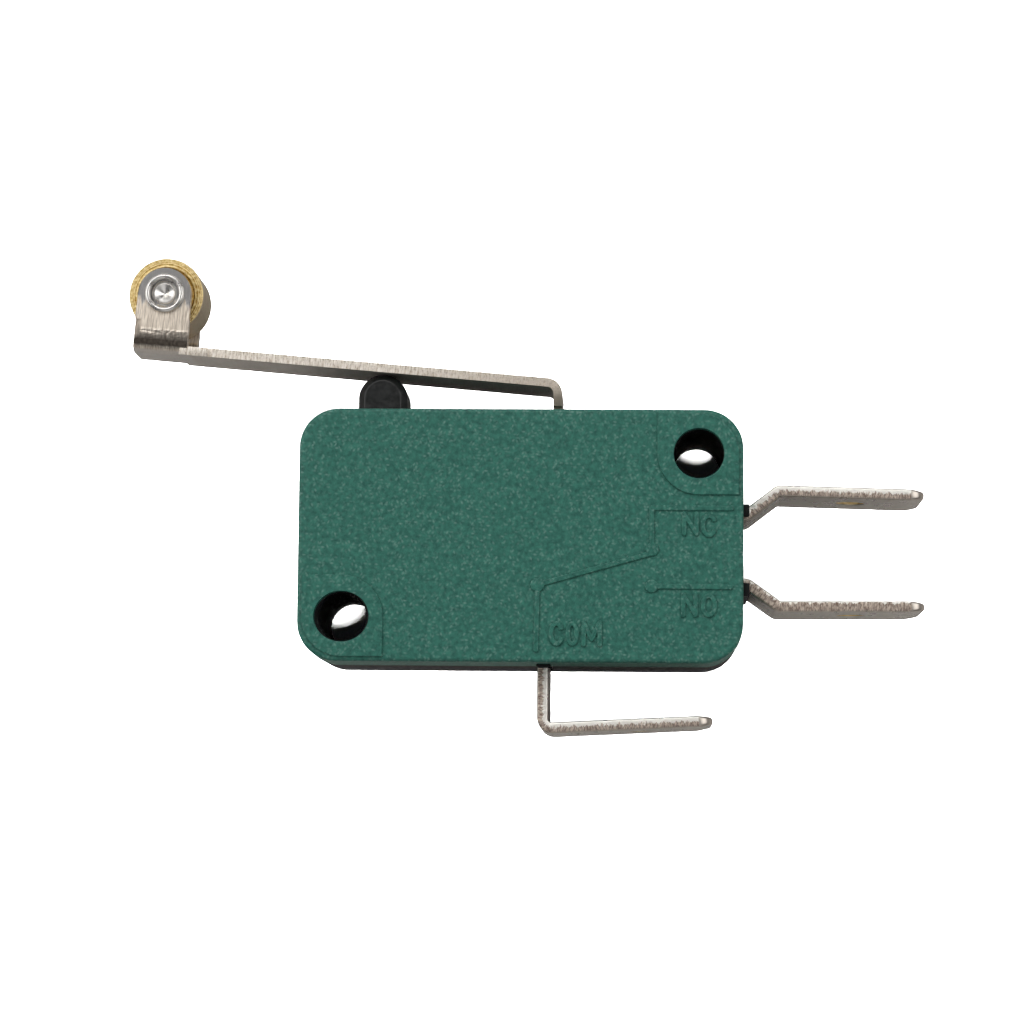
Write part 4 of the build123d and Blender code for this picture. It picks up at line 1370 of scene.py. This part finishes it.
for shell in (cover, diagram, letters):
    wear_one(shell, green_nylon)
wear_one(base, black_base)
wear_one(plunger, black_polished)
wear_one(roller, turned_brass)
wear_one(rivet, rivet_steel)
for tab, edge_finish in ((tab_nc, sheared_brass_painted_highlight), (tab_no, brass_edge_in_painted_shade), (tab_com, sheared_brass_painted_highlight)):
    wear_each(tab, plated, edge_finish, drilled_brass)
wear_each(lever, rolled_steel, sheared_steel)
inner_finish = {"contact_nc": silver, "contact_no": silver, "moving_contact": silver,
                "contact_arm": spring_alloy, "actuator_arm": spring_alloy, "snap_spring": spring_wire}
for name, finish in inner_finish.items():
    wear_one(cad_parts[name], finish)

# %% [markdown]
# ## Tie every piece to the model
# A new piece rides on the body that its solid belongs to, and stands in for that solid.

# %% Ride and replace
stands_for = [(cover, "case", "front_cover", "green_moulding"),
              (base, "case", "base_housing", "black_moulding"),
              (plunger, "plunger", "plunger", "black_moulding"), (lever, "lever", "lever", "steel_strip"),
              (roller, "roller", "roller", "turned_brass"), (rivet, "lever", "roller_pin", "rivet_steel"),
              (tab_nc, "case", "terminal_nc", "plated_terminal"),
              (tab_no, "case", "terminal_no", "plated_terminal"),
              (tab_com, "case", "terminal_com", "plated_terminal")]
for piece, body, node, slot in stands_for:
    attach(piece, body)
    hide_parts(node)
for piece in (diagram, letters):
    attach(piece, "case")
print("pieces tied:", len(stands_for) + 2)

# %% [markdown]
# ## Floor, light and camera
# The switch lies on a white table in a dim room, between four soft boxes. None of them hangs
# straight above, so flat metal that faces the camera mirrors the dark ceiling, and only rounded
# edges and rough skins catch light. The box at the top of the picture is the strongest.

# %% Floor
bpy.ops.object.select_all(action="DESELECT")
bpy.ops.mesh.primitive_plane_add(size=2.0, location=(0, 0, -0.00002))
floor = bpy.context.active_object
floor.name = "floor"
floor_white, tree = new_finish("white_table")
seen = put(tree, "LightPath", "Is Camera Ray")
lit = put(tree, "BsdfDiffuse", Color=colour("#F6F6F5"))
# what the metal mirrors of the table is the part in its own shade, which is much darker
mirrored = put(tree, "BsdfDiffuse", Color=colour("#3E3D3C"))
table = put(tree, "MixShader", Fac=seen, Shader=mirrored, Shader_001=lit)
put(tree, "OutputMaterial", Surface=table)
wear_one(floor, floor_white)
print("floor ready")

# %% Light
world = bpy.data.worlds.new("studio")
bpy.context.scene.world = world
world.use_nodes = True
sky = world.node_tree.nodes["Background"]
sky.inputs["Color"].default_value = colour("#F2F2F4")
sky.inputs["Strength"].default_value = 0.12


def lamp(name, place, size, power, only_on=None):
    """A square soft box, turned to face the switch. It can be kept to the pieces of one collection."""
    bpy.ops.object.light_add(type="AREA", location=place)
    light = bpy.context.active_object
    light.name = name
    light.data.shape = "RECTANGLE"
    light.data.size = size[0]
    light.data.size_y = size[1]
    light.data.energy = power
    light.rotation_euler = (-Vector(place)).to_track_quat("-Z", "Y").to_euler()
    if only_on:
        light.light_linking.receiver_collection = only_on
    return light


lamp("soft_box_top", (-0.08, 0.40, 0.40), (0.5, 0.3), 1.3)
lamp("soft_box_left", (-0.42, 0.12, 0.36), (0.4, 0.4), 1.1)
lamp("soft_box_right", (0.40, 0.10, 0.38), (0.4, 0.4), 0.9)
lamp("soft_box_low", (0.05, -0.42, 0.36), (0.4, 0.4), 0.35)
print("soft boxes ready")

# %% [markdown]
# The table is lit up to plain white by lamps of its own, which light nothing else. Eight stand
# round it and wash out the shadows. The small one hangs where a hand would hold it, close above
# the switch, so that a little of its light reaches the table through the fixing holes.

# %% Light for the table alone
table_only = bpy.data.collections.new("table_only")
table_only.objects.link(floor)
wash_lamps = 8
wash_out = 0.33
for i in range(wash_lamps):
    turn = 2 * pi * i / wash_lamps
    lamp("table_wash_" + str(i + 1), (wash_out * cos(turn), wash_out * sin(turn), 0.42), (0.3, 0.3), 2.6,
         table_only)
lamp("table_spot", (0.011, -0.043, 0.21), (0.012, 0.012), 1.0, table_only)
bpy.context.scene.view_settings.view_transform = "Standard"
print("table lamps ready")

# %% Camera
camera_data = bpy.data.cameras.new("camera")
camera = bpy.data.objects.new("camera", camera_data)
bpy.context.scene.collection.objects.link(camera)
camera_right = Vector((0.99923262, 0.00909028, -0.03809914))
camera_up = Vector((-0.00484049, 0.99389903, 0.11018754))
camera_back = Vector((0.03886834, -0.10991856, 0.99318033))
stand = Matrix((camera_right, camera_up, camera_back)).transposed().to_4x4()
stand.translation = (0.0073, -0.0207, 0.210)
camera.matrix_world = stand
camera_data.sensor_width = 36
camera_data.lens = 113.6
camera_data.clip_start = 0.01
bpy.context.scene.camera = camera
print("camera", round(camera_data.lens, 1), "mm")
